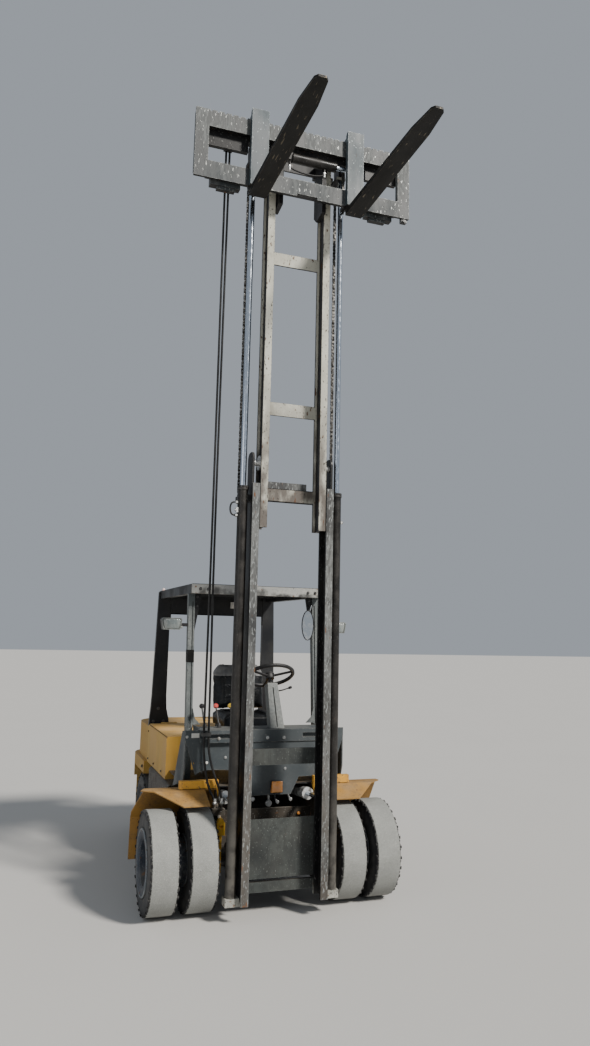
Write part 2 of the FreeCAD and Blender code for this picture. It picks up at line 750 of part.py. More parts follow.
def frame_hooks():
    """On +X: the hook over the carriage's upper bar and the stepped claw under its lower bar."""
    front = carriage_front
    back = carriage_back
    upper_top = frame_top_z - upper_bar[1]
    root = frame_rear - overlap
    hook = plate_x([(root, upper_top + 1), (back + 2, upper_top + 1), (back + 2, upper_top - 30),
                    (back + 14, upper_top - 30), (back + 14, upper_top + 20), (root, upper_top + 20)],
                   (430, 560))
    low = frame_foot_z
    bar_foot = low + lower_bar[0]
    claw = plate_x([(root, low + 32), (root, low - claw_drop), (back + 14, low - claw_drop),
                    (back + 14, bar_foot + 25), (back + 2, bar_foot + 25), (back + 2, bar_foot - 2),
                    (front - 1, bar_foot - 2)], (480, 695))
    keeper = box((515, 645), (frame_rear + 8, back + 10), (low - claw_drop - 20, low - claw_drop + overlap))
    return joined([hook]), joined([claw, keeper])


def fork_frame():
    """Side-shifting frame: notched upper bar, lower bar, end plates, hooks on the carriage."""
    top = frame_top_z
    parts = frame_bars()
    y, z = shift_axis()
    root = frame_rear - 14
    bar_foot = top - bar_height + 10
    lug = plate_x([(root, bar_foot), (root, z - 30), (y + 16, z - 30), (y + 16, z + 26), (frame_rear, z + 30),
                   (frame_rear, bar_foot)], shift_lug)
    parts.append(lug.cut(rod(shift_rod_radius, (shift_lug[0] - 1, y, z), (shift_lug[1] + 1, y, z))))
    for piece in frame_hooks():
        parts += both(piece)
    return joined(parts)


def fork(x):
    """One fork: shank with two hooks on the frame, and a blade that thins to a rounded tip."""
    back = frame_front - hook_gap
    front = back - shank_depth
    low = frame_foot_z - blade_drop
    top = frame_top_z + shank_top_over
    half = fork_width / 2
    across = (x - half, x + half)
    tip = front - blade_length
    deck = low + blade_heel
    side = plate_x([(back, low), (back, top - 14), (back - 14, top), (front, top), (front, deck + 24),
                    (front - 24, deck), (tip, deck), (tip, deck - blade_tip), (front - 60, low)], across)
    nose = half - 20
    for way in (-1, 1):
        corner = plate_z([(x + way * half, tip + blade_taper), (x + way * (half + 5), tip - 5),
                          (x + way * (nose - 22), tip - 5), (x + way * nose, tip + 24)], (low - 5, low + 60))
        side = side.cut(corner)
    lip = frame_front + bar_lip + hook_gap
    root = back - overlap
    reach = frame_rear - 2
    high = frame_top_z
    upper = plate_x([(root, high + hook_gap), (lip, high + hook_gap), (lip, high - 20), (reach, high - 20),
                     (reach, high + 24), (root, high + 30)], across)
    foot = frame_foot_z
    lower = plate_x([(root, foot - hook_gap), (lip, foot - hook_gap), (lip, foot + 20), (reach, foot + 20),
                     (reach, foot - 22), (root, foot - 30)], across)
    return joined([side, upper, lower])


def tilt_line():
    """Unit vector from the body's eye to the mast's eye, and their distance."""
    dy = tilt_mast_eye[0] - tilt_body_eye[0]
    dz = tilt_mast_eye[1] - tilt_body_eye[1]
    length = hypot(dy, dz)
    return dy / length, dz / length, length


def tilt_point(x, along):
    """A point on a tilt cylinder's axis, at a distance from the body's eye."""
    dy, dz, length = tilt_line()
    return (x, axle_y + tilt_body_eye[0] + along * dy, tilt_body_eye[1] + along * dz)


def tilt_eye(x, place):
    """Ends of the line that an eye of a tilt cylinder turns on."""
    y = axle_y + place[0]
    return (x - tilt_eye_half, y, place[1]), (x + tilt_eye_half, y, place[1])


def tilt_barrel(x):
    """Barrel from its rear eye, with a raised gland, bored for the rod."""
    body = rod(tilt_radius - 3, tilt_point(x, 30), tilt_point(x, 405))
    gland = rod(tilt_radius, tilt_point(x, 385), tilt_point(x, 430))
    bore = rod(tilt_rod_radius + running_gap, tilt_point(x, 60), tilt_point(x, 431))
    body = joined([body, gland]).cut(bore)
    start, end = tilt_eye(x, tilt_body_eye)
    eye = rod(tilt_eye_radius, start, end)
    return joined([body, eye]).cut(rod(tilt_pin_radius + running_gap, start, end))


def tilt_rod(x):
    """Chromed rod with its eye at the mast."""
    length = tilt_line()[2]
    shaft = rod(tilt_rod_radius, tilt_point(x, 300), tilt_point(x, length - 22))
    start, end = tilt_eye(x, tilt_mast_eye)
    eye = rod(tilt_eye_radius, start, end)
    return joined([shaft, eye]).cut(rod(tilt_pin_radius + tilt_eye_gap, start, end))


def chassis_plate():
    """Side plate on +X: it rises to the outrigger at the front and is cut away over the steer axle."""
    y = axle_y
    seat = hood_foot_z - rest_gap - 10
    outline = [(y - 70, chassis_foot_z), (y + rear_cut, chassis_foot_z), (y + rear_cut, arch_top_z),
               (y + weight_front, arch_top_z), (y + weight_front, seat), (y + hood_front - 8, seat),
               (y + hood_front - 8, floor_z), (y + cowl_y, floor_z), (y + outrigger_y[1], outrigger_z[1]),
               (y + outrigger_y[0], outrigger_z[1]), (y + outrigger_y[0], floor_z - 60), (y - 70, 520)]
    x = (side_plate_x, side_plate_x + side_plate)
    plate = plate_x(outline, x)
    return plate.cut(rod(axle_radius, (x[0] - 1, y, tyre_radius), (x[1] + 1, y, tyre_radius)))


def tilt_ears():
    """On +X: the pair of ears and the pin that carry a tilt cylinder's rear eye."""
    y = axle_y + tilt_body_eye[0]
    z = tilt_body_eye[1]
    outline = [(y - 24, z), (y, z - 28), (y + 50, z - 60), (y + 50, z + 38), (y, z + 28)]
    ears = []
    for ear in ((tilt_x - tilt_ear[1], tilt_x - tilt_ear[0]), (tilt_x + tilt_ear[0], tilt_x + tilt_ear[1])):
        ears.append(plate_x(outline, ear))
    pin = rod(tilt_pin_radius, (tilt_x - tilt_ear[1], y, z), (tilt_x + tilt_ear[1], y, z))
    return joined(ears + [pin])


def side_tank():
    """Tank on +X that bulges out under the hood, with the driver's step ahead of it."""
    plate = side_plate_x + side_plate - overlap
    tank_y = (axle_y + tank_front, axle_y + rear_cut)
    tank = box((plate, belt_half), tank_y, (tank_foot_z, hood_foot_z - rest_gap))
    long_edges = [e for e in tank.Edges if e.BoundBox.XMin > belt_half - 1 and e.BoundBox.YLength > 100]
    tank = tank.makeFillet(25, long_edges)
    step = box((plate, belt_half - 30), (axle_y + step_front, axle_y + tank_front + overlap),
               (tank_foot_z, tank_foot_z + step_thickness))
    return joined([tank, step])


def trunnion_cap():
    """Cap with an eye at the front of the side plate on +X, over the axle."""
    x = (side_plate_x - 12, side_plate_x + side_plate + 26)
    middle = (x[0] + x[1]) / 2
    cap = plate_y([(x[0], 490), (x[0], 566), (x[0] + 16, 596), (x[1] - 16, 596), (x[1], 566), (x[1], 490)],
                  (axle_y - 104, axle_y - 70 + overlap))
    return cap.cut(rod(13, (middle, axle_y - 105, 548), (middle, axle_y - 69, 548)))


def hose_bracket():
    """Bracket on the right side plate's front edge with the fittings of the two hoses."""
    z = bracket_z
    parts = [box((min(gland_x) - 20, max(gland_x) + 16), (axle_y - 12, axle_y + gland_y + 22), z)]
    for x in gland_x:
        y = axle_y + gland_y
        parts.append(rod(hose_radius + 3, (x, y, z[1] - 1), (x, y, gland_top_z)))
    return joined(parts)


def chassis_frame():
    """Side plates, cross members, tanks, outriggers and the rear bridge that carries the counterweight."""
    inside = side_plate_x + overlap
    parts = both(chassis_plate())
    engine_seat = engine_foot_z - rest_gap
    foot = chassis_foot_z
    # cross members: behind the axle from, to, bottom, top
    members = [(120, 140, foot, 600), (hood_front + 70, hood_front + 110, foot, engine_seat),
               (rear_cut - 120, rear_cut - 80, foot, engine_seat), (rear_cut - 30, rear_cut - 5, foot, 590),
               (tilt_body_eye[0] + 48, tilt_body_eye[0] + 72, tilt_body_eye[1] - 90, tilt_body_eye[1] + 40)]
    for start, end, low, high in members:
        parts.append(box((-inside, inside), (axle_y + start, axle_y + end), (low, high)))
    y = (axle_y + outrigger_y[0], axle_y + outrigger_y[1])
    parts += both(box((side_plate_x, body_half + 35), y, outrigger_z))
    for piece in (tilt_ears(), side_tank(), trunnion_cap()):
        parts += both(piece)
    return joined(parts + [hose_bracket()])


def counterweight():
    """Cast tail: rounded in plan, with a belt, wheel arches, tow slot, radiator recess and hinge."""
    front = axle_y + weight_front
    back = axle_y + tail
    corner = 250

    def slab(half, rear, z):
        block = box((-half, half), (front, rear), z)
        edges = [e for e in block.Edges if e.BoundBox.ZLength > 50 and e.BoundBox.YMin > front + 10]
        return block.makeFillet(corner, edges)

    whole = joined([slab(body_half, back - 25, (230, 520)), slab(belt_half, back, (500, hood_foot_z)),
                    slab(body_half - 8, back - upper_setback, (hood_foot_z - 20, hood_top_z - 25))])
    for side in (-1, 1):
        sweep = Part.makeCylinder(wheel_sweep, arch_top_z - 100, V(side * kingpin_x, rear_axle_y, 100))
        keep = box((-115, 115), (front - 500, back), (0, 700))
        whole = whole.cut(sweep.cut(keep))
        outboard = sorted((side * kingpin_x, side * (belt_half + 90)))
        arch_y = (rear_axle_y - wheel_sweep, rear_axle_y + wheel_sweep)
        whole = whole.cut(box(outboard, arch_y, (100, arch_top_z)))
    beam_half = rear_tyre_x - 62
    beam = box((-beam_half, beam_half), (rear_axle_y - 90, rear_axle_y + 160), (0, rear_tyre_radius + 130))
    slot = box((-110, 110), (back - 120, back + 10), tow_slot_z)
    pocket = box((-60, 60), (back - 110, back + 10), (640, 760))
    pin_y = back - tow_pin_setback
    pin_bore = rod(tow_pin_radius, (0, pin_y, tow_pin_z[0]), (0, pin_y, tow_pin_z[1]))
    recess = box((-grille_half, grille_half), (back - grille_depth, back + 10), grille_z)
    for hollow in (beam, steer_pivot(pivot_radius + rest_gap), slot, pocket, pin_bore, recess):
        whole = whole.cut(hollow)
    return joined([whole] + both(hinge_knuckle()))


def hinge_knuckle():
    """The counterweight's hinge knuckle on +X, which stands between the hood's two."""
    y = axle_y + hood_rear
    x = hinge_x[1]
    knuckle = rod(hinge_radius, (x[0], y, hood_top_z), (x[1], y, hood_top_z))
    foot = hood_top_z - 25
    leaf = plate_x([(y + 2, hood_top_z - 8), (y + 17, foot - overlap), (y + 34, foot - overlap),
                    (y + 34, foot + 6), (y + 24, foot + 6), (y + 8, hood_top_z)], x)
    return joined([knuckle, leaf])


def hood():
    """Engine hood: open box with rounded edges, and two hinge knuckles on each side of its rear edge."""
    y = (axle_y + hood_front, axle_y + hood_rear)
    outer = box((-body_half, body_half), y, (hood_foot_z, hood_top_z))
    edges = [e for e in outer.Edges if e.BoundBox.YLength > 100 and e.BoundBox.ZMin > hood_top_z - 1]
    outer = outer.makeFillet(22, edges)
    inner = box((-body_half + hood_sheet, body_half - hood_sheet), (y[0] + hood_sheet, y[1] + 1),
                (hood_foot_z - 1, hood_top_z - hood_sheet))
    shell = outer.cut(inner)
    middle = hinge_x[1]
    room = box((middle[0] - rest_gap, middle[1] + rest_gap), (y[1] - hinge_radius - 2, y[1] + 1),
               (hood_top_z - hood_sheet - 1, hood_top_z + 1))
    shell = shell.cut(room).cut(mirrored(room))
    knuckles = []
    for x in (hinge_x[0], hinge_x[2]):
        knuckles += both(rod(hinge_radius, (x[0], y[1], hood_top_z), (x[1], y[1], hood_top_z)))
    return joined([shell] + knuckles)


def tail_grille():
    """Frame with slats in the counterweight's radiator recess."""
    gap = rest_gap
    face = axle_y + tail - upper_setback
    y = (face - 30, face - 10)
    frame = box((-grille_half + gap, grille_half - gap), y, (grille_z[0] + gap, grille_z[1] - gap))
    border = 12
    opening = box((-grille_half + border, grille_half - border), (y[0] - 1, y[1] + 1),
                  (grille_z[0] + border, grille_z[1] - border))
    parts = [frame.cut(opening)]
    slat_count = 5
    pitch = (grille_z[1] - grille_z[0] - 2 * border) / slat_count
    for index in range(slat_count):
        z = grille_z[0] + border + pitch * (index + 0.5)
        parts.append(plate_x([(y[0], z + 6), (y[0], z + 9), (y[1], z - 6), (y[1], z - 9)],
                             (-grille_half + border - overlap, grille_half - border + overlap)))
    return joined(parts)


def front_post():
    """Front post of the guard on +X: knee at the cowl's height, grooved front and a gusset on top."""
    top = guard_top_z
    x = (guard_half - 4 - post_width, guard_half - 4)
    foot_y = axle_y + post_foot_y
    head_y = axle_y + post_head_y
    knee = cowl_rail_z - 90
    upper = plate_x([(foot_y, knee), (foot_y + post_depth, knee), (head_y + post_depth, top - 10),
                     (head_y, top - 10)], x)
    lean = (head_y - foot_y) / (top - 10 - knee)
    groove_z = (knee + 70, top - 130)
    front_at = [foot_y + lean * (z - knee) for z in groove_z]
    groove = plate_x([(front_at[0] - 1, groove_z[0]), (front_at[0] + 8, groove_z[0]),
                      (front_at[1] + 8, groove_z[1]), (front_at[1] - 1, groove_z[1])], (x[0] + 12, x[0] + 21))
    post_foot = floor_z + floor_sheet + rest_gap
    lower = plate_x([(foot_y, knee), (foot_y + post_depth + 15, knee), (foot_y + 60, post_foot),
                     (foot_y, post_foot)], x)
    gusset = plate_y([(x[0], top - 20), (x[0], top - 392), (x[0] - 58, top - 40), (x[0] - 58, top - 20)],
                     (head_y + 5, head_y + 17))
    foot_z = cowl_rail_z + 1
    flare = plate_y([(x[0] + 1, cowl_rail_z + 120), (x[0] - 18, cowl_rail_z + 45), (x[0] - 62, foot_z),
                     (x[0] + 1, foot_z)], (foot_y + 6, foot_y + 14))
    return joined([upper.cut(groove), lower, gusset, flare])


def rear_post():
    """Rear post of the guard on +X: a plate post whose foot flares out on the counterweight."""
    y = axle_y + rear_post_y
    foot = hood_top_z - 25
    # half width inboard and outboard of the guard's side, height
    flare = [(124, 53, foot), (118, 51, foot + 60), (96, 42, foot + 150), (90, 36, foot + 260),
             (90, 14, guard_top_z - 10)]
    outline = [(guard_half - inner, z) for inner, outer, z in flare]
    outline += [(guard_half + outer, z) for inner, outer, z in reversed(flare)]
    return plate_y(outline, (y, y + rear_post_depth))


def overhead_guard():
    """Four posts, roof beams and slats."""
    top = guard_top_z
    y = (axle_y + guard_front, axle_y + guard_rear)
    half = guard_half
    beam = 60
    z = (top - guard_beam, top)
    parts = [box((-half, half), (y[0], y[0] + beam), z), box((-half, half), (y[1] - beam, y[1]), z)]
    side_beam = box((half - 55, half), y, z)
    parts += both(joined([side_beam, front_post(), rear_post()]))
    slat_count = 6
    pitch = (y[1] - y[0] - 2 * beam) / slat_count
    for index in range(1, slat_count):
        middle = y[0] + beam + pitch * index
        parts.append(box((-half + 50, half - 50), (middle - 12, middle + 12), (top - 40, top - 8)))
    return joined(parts)


def guard_roof():
    """Sheet on the guard."""
    inset = 12
    half = guard_half - inset
    y = (axle_y + guard_front + inset, axle_y + guard_rear - inset)
    return box((-half, half), y, (guard_top_z + rest_gap, guard_top_z + 4))


def cowl():
    """Front panel with its side plates and skirts, the rail, the second beam and the shelf."""
    y = axle_y + cowl_y
    sheet = cowl_sheet
    top = cowl_rail_z
    wide = body_half + 2
    rail_y = (y - 35, y + 60)
    rail_z = (top - 84, top)
    # outline from the top left corner round the foot: across, height
    panel = [(-wide, top), (-wide, top - 64), (-512, 849), (-478, 872), (-425, 880), (-257, 876),
             (-250, 812), (-190, 694), (190, 694), (250, 812), (425, 816), (478, 852), (512, 849),
             (wide, top - 64), (wide, top)]
    rail_half = cowl_half + 20
    slot_x = (262, rail_half)
    slot_z = (top - 58, top - 26)
    front = plate_y(panel, (y, y + sheet))
    for x in (-522, -479, -434):
        front = front.cut(rod(7, (x, y - 1, 929), (x, y + sheet + 1, 929)))
    rail = box((-rail_half, rail_half), rail_y, rail_z)
    slot = box(slot_x, (rail_y[0] - 1, rail_y[0] + 30), slot_z)
    rail = rail.cut(slot).cut(mirrored(slot))
    beam = box((-250, 400), (y - 24, y + overlap), (top - 166, top - 88))
    shelf = box((-cowl_half, cowl_half), (y + 6, y + 200), (top - 12, top))
    post_y = axle_y + post_foot_y - rest_gap
    side = plate_x([(y + 2, 860), (y + 2, top), (post_y, top), (post_y, 900)], (cowl_half - sheet, cowl_half))
    skirt = plate_x([(y + 2, 880), (y + 2, top), (y + 100, top - 14), (y + 371, 716), (y + 30, 806)],
                    (wide - sheet, wide))
    return joined([front, rail, beam, shelf] + both(side) + both(skirt))


def cowl_marker():
    """Amber block on the cowl panel."""
    y = axle_y + cowl_y - rest_gap
    block = box((38, 118), (y - 38, y), (712, 789))
    return block.makeFillet(9, [e for e in block.Edges if e.BoundBox.YMax < y - 37])


def floor_plate():
    """Foot plate with three pedals."""
    y = (axle_y + cowl_y + cowl_sheet + rest_gap, axle_y + hood_front - 2)
    half = body_half - 30
    top = floor_z + floor_sheet
    parts = [box((-half, half), y, (floor_z + rest_gap, top))]
    pedal_y = axle_y + 285
    # pedals: x, width
    for x, width in ((-210, 70), (-110, 70), (235, 60)):
        parts.append(box((x - 8, x + 8), (pedal_y + 5, pedal_y + 21), (top - overlap, top + 110)))
        parts.append(box((x - width / 2, x + width / 2), (pedal_y, pedal_y + 80), (top + 105, top + 117)))
    return joined(parts)


def fender(side):
    """Mudguard over a pair of front wheels: folded sheet, its corners cut, and a flap behind the tyres."""
    y = axle_y
    sheet = 7
    root = side_plate_x + side_plate + rest_gap
    edge = outer_tyre_x + tyre_width / 2 + 39
    # upper face from the front edge back: behind the axle, height
    fold = [(-130, 692), (40, 762), (200, 755), (352, 540), (368, 255)]
    lower = [(-130, 692 - sheet), (40, 762 - sheet), (196, 755 - sheet),
             (352 - sheet, 538), (368 - sheet, 255)]
    profile = [(y + dy, z) for dy, z in fold] + [(y + dy, z) for dy, z in reversed(lower)]
    whole = plate_x(profile, (root, edge))
    front_corner = plate_z([(620, y - 140), (edge + 5, y - 140), (edge + 5, y + 150)], (600, 800))
    whole = whole.cut(front_corner)
    brace = plate_x([(y + 110, 560), (y + 215, 560), (y + 196, 750), (y + 110, 752)], (root, root + 10))
    whole = joined([whole, brace])
    if side > 0:
        return whole
    rear_corner = plate_z([(edge - 64, y + 205), (edge + 5, y + 45), (edge + 5, y + 330)], (560, 800))
    hose_notch = box((root - 1, root + 82), (y - 140, y + 58), (600, 800))
    return mirrored(whole.cut(rear_corner).cut(hose_notch))


def steering_column():
    """Sloped column cover on the cowl, narrower at its top, with a slit down its front."""
    foot_z = cowl_rail_z
    middle = wheel_centre[0]

    def section(half, front, back):
        corners = [V(middle - half, *front), V(middle + half, *front), V(middle + half, *back),
                   V(middle - half, *back)]
        return Part.makePolygon(corners + corners[:1])

    # half width, front edge and back edge as (y, z)
    low = section(52, (axle_y + 130, foot_z), (axle_y + 215, foot_z))
    high = section(38, (axle_y + 275, foot_z + 312), (axle_y + 355, foot_z + 290))
    cover = Part.makeLoft([low, high], True, True)
    centre, axis = wheel_frame()
    bore = Part.makeCylinder(wheel_shaft_radius + running_gap, wheel_shaft_length + 10,
                             centre - axis * (wheel_shaft_length + 2), axis)
    slit = plate_x([(axle_y + 126, foot_z + 8), (axle_y + 142, foot_z + 8), (axle_y + 275, foot_z + 280),
                    (axle_y + 259, foot_z + 280)], (middle - 4, middle + 4))
    return cover.cut(bore).cut(slit)


def wheel_frame():
    """Centre of the steering wheel and its unit axis, leaning back to the driver."""
    lean = radians(wheel_lean)
    x, y, z = wheel_centre
    return V(x, axle_y + y, z), V(0, sin(lean), cos(lean))


def steering_wheel():
    """Rim with an eight-sided grip, three spokes, hub and the shaft that enters the column."""
    centre, axis = wheel_frame()
    corners = []
    for index in range(8):
        turn = 2 * pi * (index + 0.5) / 8
        out = X_AXIS * (wheel_radius + wheel_grip * cos(turn))
        corners.append(centre + out + axis * (wheel_grip * sin(turn)))
    ring = Part.Face(Part.makePolygon(corners + corners[:1])).revolve(centre, axis, 360)
    parts = [ring, Part.makeCylinder(32, 34, centre - axis * 30, axis)]
    down = axis.cross(X_AXIS)
    for turn in (90, 210, 330):
        way = X_AXIS * cos(radians(turn)) + down * sin(radians(turn))
        parts.append(Part.makeCylinder(9, wheel_radius - 6, centre - axis * 8, way))
    start = centre - axis * wheel_shaft_length
    parts.append(Part.makeCylinder(wheel_shaft_radius, wheel_shaft_length, start, axis))
    return joined(parts)


def levers():
    """Three hydraulic levers with knobs, on the cowl's shelf."""
    parts = []
    y = axle_y + 215
    foot = cowl_rail_z + rest_gap
    knob_y = axle_y + 330
    knob_z = cowl_rail_z + 142
    # knob outline: radius, height
    outline = [(0, -19), (11, -16), (19, -6), (19, 6), (11, 16), (0, 19)]
    for x in (-215, -325, -430):
        collar = rod(16, (x, y, foot), (x, y, foot + 14))
        stick = rod(6, (x, y, foot + 10), (x, knob_y, knob_z))
        parts.append(joined([stick, turned_up(outline, (x, knob_y, knob_z)), collar]))
    return parts


def seat():
    """Seat base, cushion and backrest."""
    y = axle_y
    foot = hood_top_z
    pan = foot + 55
    pad = foot + 165
    base = box((-190, 190), (y + 800, y + 1180), (foot + rest_gap, pan))
    cushion = box((-235, 235), (y + 740, y + 1179 - rest_gap), (pan + rest_gap, pad))
    cushion = cushion.makeFillet(35, [e for e in cushion.Edges if e.BoundBox.ZMin > pad - 5])
    top = foot + 555
    shoulder = top - 75
    start = pad + rest_gap
    back = plate_x([(y + 1090, start), (y + 1200, start), (y + 1265, shoulder), (y + 1235, top),
                    (y + 1180, top), (y + 1145, shoulder)], (-225, 225))
    round_edges = [e for e in back.Edges if e.BoundBox.XLength < 1 and e.BoundBox.ZMin > shoulder - 20]
    back = back.makeFillet(30, round_edges)
    stay = box((-150, 150), (y + 1179, y + 1200), (foot + 5, pad))
    return joined([base, stay]), cushion, back


def hose_ends(index):
    """Lower and upper end of one lift hose."""
    low_x, high_x = hose_table[index]
    low = (low_x, axle_y + clamp_y, clamp_z)
    high = (high_x, axle_y + hose_top_y, hose_block_z()[0] - hose_end_gap)
    return low, high


def hose_tails():
    """The hoses' lower ends: from the clamp on the cowl's rail to the fittings on the chassis."""
    parts = []
    # across, behind the axle, height, after the clamp
    routes = [[(-470, 40, 1000), (-452, 34, 850), (-420, 26, 750)],
              [(-430, 40, 980), (-396, 32, 862), (-354, 24, 762)]]
    for index, route in enumerate(routes):
        low, high = hose_ends(index)
        down = (V(*low) - V(*high)).normalize()
        start = V(*low) + down * rest_gap
        bend = start + down * 90
        stops = [(x, axle_y + dy, z) for x, dy, z in route]
        x = gland_x[index]
        y = axle_y + gland_y
        parts.append(hose([start, bend] + stops + [(x, y, gland_top_z + 28), (x, y, gland_top_z + rest_gap)],
                          hose_radius))
    return parts


def hose_clamp():
    """The clamp block that holds the hoses on the cowl's rail."""
    y = axle_y + clamp_y
    width = hose_radius + 7
    lows = [low for low, high in hose_table]
    rail_front = axle_y + cowl_y - 35
    clamp = box((min(lows) - width, max(lows) + width), (y - width, rail_front), (clamp_z - 44, clamp_z - 20))
    for index in range(len(hose_table)):
        low, high = hose_ends(index)
        down = (V(*low) - V(*high)).normalize()
        clamp = clamp.cut(Part.makeCylinder(hose_radius + rest_gap, 60, V(*low), down))
    return clamp


def work_lights():
    """Two head lamps, narrower below, on arms from the front posts."""
    parts = []
    x = guard_half + 132
    y = axle_y + 410
    z = (guard_top_z - 343, guard_top_z - 257)
    outline = [(x - 62, z[0]), (x + 62, z[0]), (x + 75, z[1] - 14), (x + 66, z[1]), (x - 66, z[1]),
               (x - 75, z[1] - 14)]
    body = plate_y(outline, (y, y + 80))
    arm = box((guard_half - 4 + rest_gap, x - 60), (y + 60, y + 80), (z[0] + 25, z[0] + 50))
    return both(joined([body, arm]))


def mirror():
    """Oval mirror on a stalk inside the left front post."""
    centre = V(420, axle_y + 430, guard_top_z - 287)
    back = centre + Y_AXIS * 14
    oval = Part.Ellipse(back + Z_AXIS * 115, back + X_AXIS * 48, back)
    disc = Part.Face(Part.Wire([oval.toShape()])).extrude(Y_AXIS * -14)
    # stalk from the disc up, then back to the post's corner plate
    stalk_y = axle_y + 442
    bend = (450, stalk_y, guard_top_z - 132)
    gusset_y = axle_y + post_head_y + 5
    stalk = [rod(6, (425, stalk_y, centre.z + 65), bend), Part.makeSphere(6, V(*bend)),
             rod(6, bend, (bend[0], gusset_y - rest_gap, bend[2]))]
    return joined([disc] + stalk)


def rear_lamps():
    """Two lamps on the rear posts."""
    back = axle_y + rear_post_y + rear_post_depth + rest_gap
    z = (guard_top_z - 682, guard_top_z - 542)
    lamp = box((guard_half - 75, guard_half - 15), (back, back + 50), z)
    return both(lamp.makeFillet(8, [e for e in lamp.Edges if e.BoundBox.YMin > back + 40]))


def engine():
    """Engine and pump as one block on the cross members."""
    y = (axle_y + hood_front + 13, axle_y + rear_cut - 40)
    return box((-230, 230), y, (engine_foot_z, hood_top_z - 80))


os.makedirs("parts", exist_ok=True)

front_tyres, front_rims = front_wheels()
save("front_tyres_left", front_tyres)
save("front_rims_left", [front_rims])
save("front_tyres_right", [mirrored(s) for s in front_tyres])
save("front_rims_right", [mirrored(front_rims)])
rear_tyre, rear_rim, knuckle = rear_wheel()
for name, shape in (("rear_tyre", rear_tyre), ("rear_rim", rear_rim), ("rear_knuckle", knuckle)):
    save(name + "_left", [shape])
    save(name + "_right", [mirrored(shape)])
save("steer_axle", [steer_axle()])
save("front_axle", [front_axle()])
save("chassis_frame", [chassis_frame()])
save("counterweight", [counterweight()])
save("tail_grille", [tail_grille()])
save("engine", [engine()])
save("outer_mast", [outer_mast()])
barrel = lift_barrel()
save("lift_barrels", both(barrel))
save("barrel_loop", [barrel_loop()])
save("chain_strands", both(chain_rear()))
save("inner_mast", [inner_mast()])
rod_start = (barrel_x, barrel_y, barrel_top_z - rod_overlap)
rod_end = (barrel_x, barrel_y, rod_top_z - rest_gap)
save("lift_rods", both(rod(rod_radius, rod_start, rod_end)))
save("chain_sheaves", both(sheave()) + both(chain_wrap()))
save("carriage", [carriage()])
save("chain_ends", both(chain_front()))
save("shift_barrel", [shift_barrel()])
save("shift_hose", [shift_hose()])
save("shift_rod", [shift_rod()])
save("fork_frame", [fork_frame()])
save("fork_left", [fork(fork_left_x)])
save("fork_right", [fork(fork_right_x)])
for name, x in (("left", tilt_x), ("right", -tilt_x)):
    save("tilt_barrel_" + name, [tilt_barrel(x)])
    save("tilt_rod_" + name, [tilt_rod(x)])
save("hood", [hood()])
base, cushion, backrest = seat()
save("seat_base", [base])
save("seat_cushion", [cushion])
save("seat_backrest", [backrest])
save("overhead_guard", [overhead_guard()])
save("guard_roof", [guard_roof()])
save("cowl", [cowl()])
save("cowl_marker", [cowl_marker()])
save("floor_plate", [floor_plate()])
save("fenders", [fender(-1), fender(1)])
save("steering_column", [steering_column()])
save("steering_wheel", [steering_wheel()])
save("levers", levers())
save("work_lights", work_lights())
save("lift_hoses", [rod(hose_radius, *hose_ends(index)) for index in (0, 1)])
save("hose_tails", hose_tails())
save("hose_clamp", [hose_clamp()])
save("mirror", [mirror()])
save("rear_lamps", rear_lamps())
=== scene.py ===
"""Forklift truck with its mast raised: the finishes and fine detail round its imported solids."""

import json
import logging
import math
import random
from dataclasses import dataclass
from enum import Enum
from typing import Callable, Iterable, Optional, Sequence, Union

import bpy
from mathutils import Matrix, Vector

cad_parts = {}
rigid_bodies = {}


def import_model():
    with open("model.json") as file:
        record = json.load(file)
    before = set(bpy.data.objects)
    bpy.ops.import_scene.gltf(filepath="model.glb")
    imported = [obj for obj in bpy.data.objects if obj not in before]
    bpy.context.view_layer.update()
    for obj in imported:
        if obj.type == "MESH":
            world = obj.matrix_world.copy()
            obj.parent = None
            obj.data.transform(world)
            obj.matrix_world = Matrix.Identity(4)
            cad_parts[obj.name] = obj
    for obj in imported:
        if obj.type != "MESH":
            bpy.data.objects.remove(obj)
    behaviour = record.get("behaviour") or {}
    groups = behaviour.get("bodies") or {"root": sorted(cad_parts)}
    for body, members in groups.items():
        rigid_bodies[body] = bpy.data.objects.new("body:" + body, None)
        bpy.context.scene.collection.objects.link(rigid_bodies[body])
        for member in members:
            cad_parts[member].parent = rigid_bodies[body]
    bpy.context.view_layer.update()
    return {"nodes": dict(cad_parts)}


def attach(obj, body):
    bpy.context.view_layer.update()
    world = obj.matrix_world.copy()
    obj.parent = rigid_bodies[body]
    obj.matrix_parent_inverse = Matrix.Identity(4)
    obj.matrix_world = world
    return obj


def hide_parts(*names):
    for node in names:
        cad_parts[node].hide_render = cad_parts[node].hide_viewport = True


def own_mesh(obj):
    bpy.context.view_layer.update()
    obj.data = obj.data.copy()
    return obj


for start_object in list(bpy.data.objects):
    bpy.data.objects.remove(start_object)

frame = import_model()
NODES = frame["nodes"]

LOG = logging.getLogger("forklift")

Pair = tuple[float, float]
Triple = tuple[float, float, float]
Colour = Triple
Point = Union[Vector, Sequence[float]]
Socket = bpy.types.NodeSocket
Input = Union[Socket, float, Sequence[float]]

X = Vector((1, 0, 0))
Y = Vector((0, 1, 0))
Z = Vector((0, 0, 1))

AXLE_Y = -0.345
TYRE_RADIUS = 0.327
REAR_AXLE_Y = 1.455
REAR_TYRE_RADIUS = 0.285


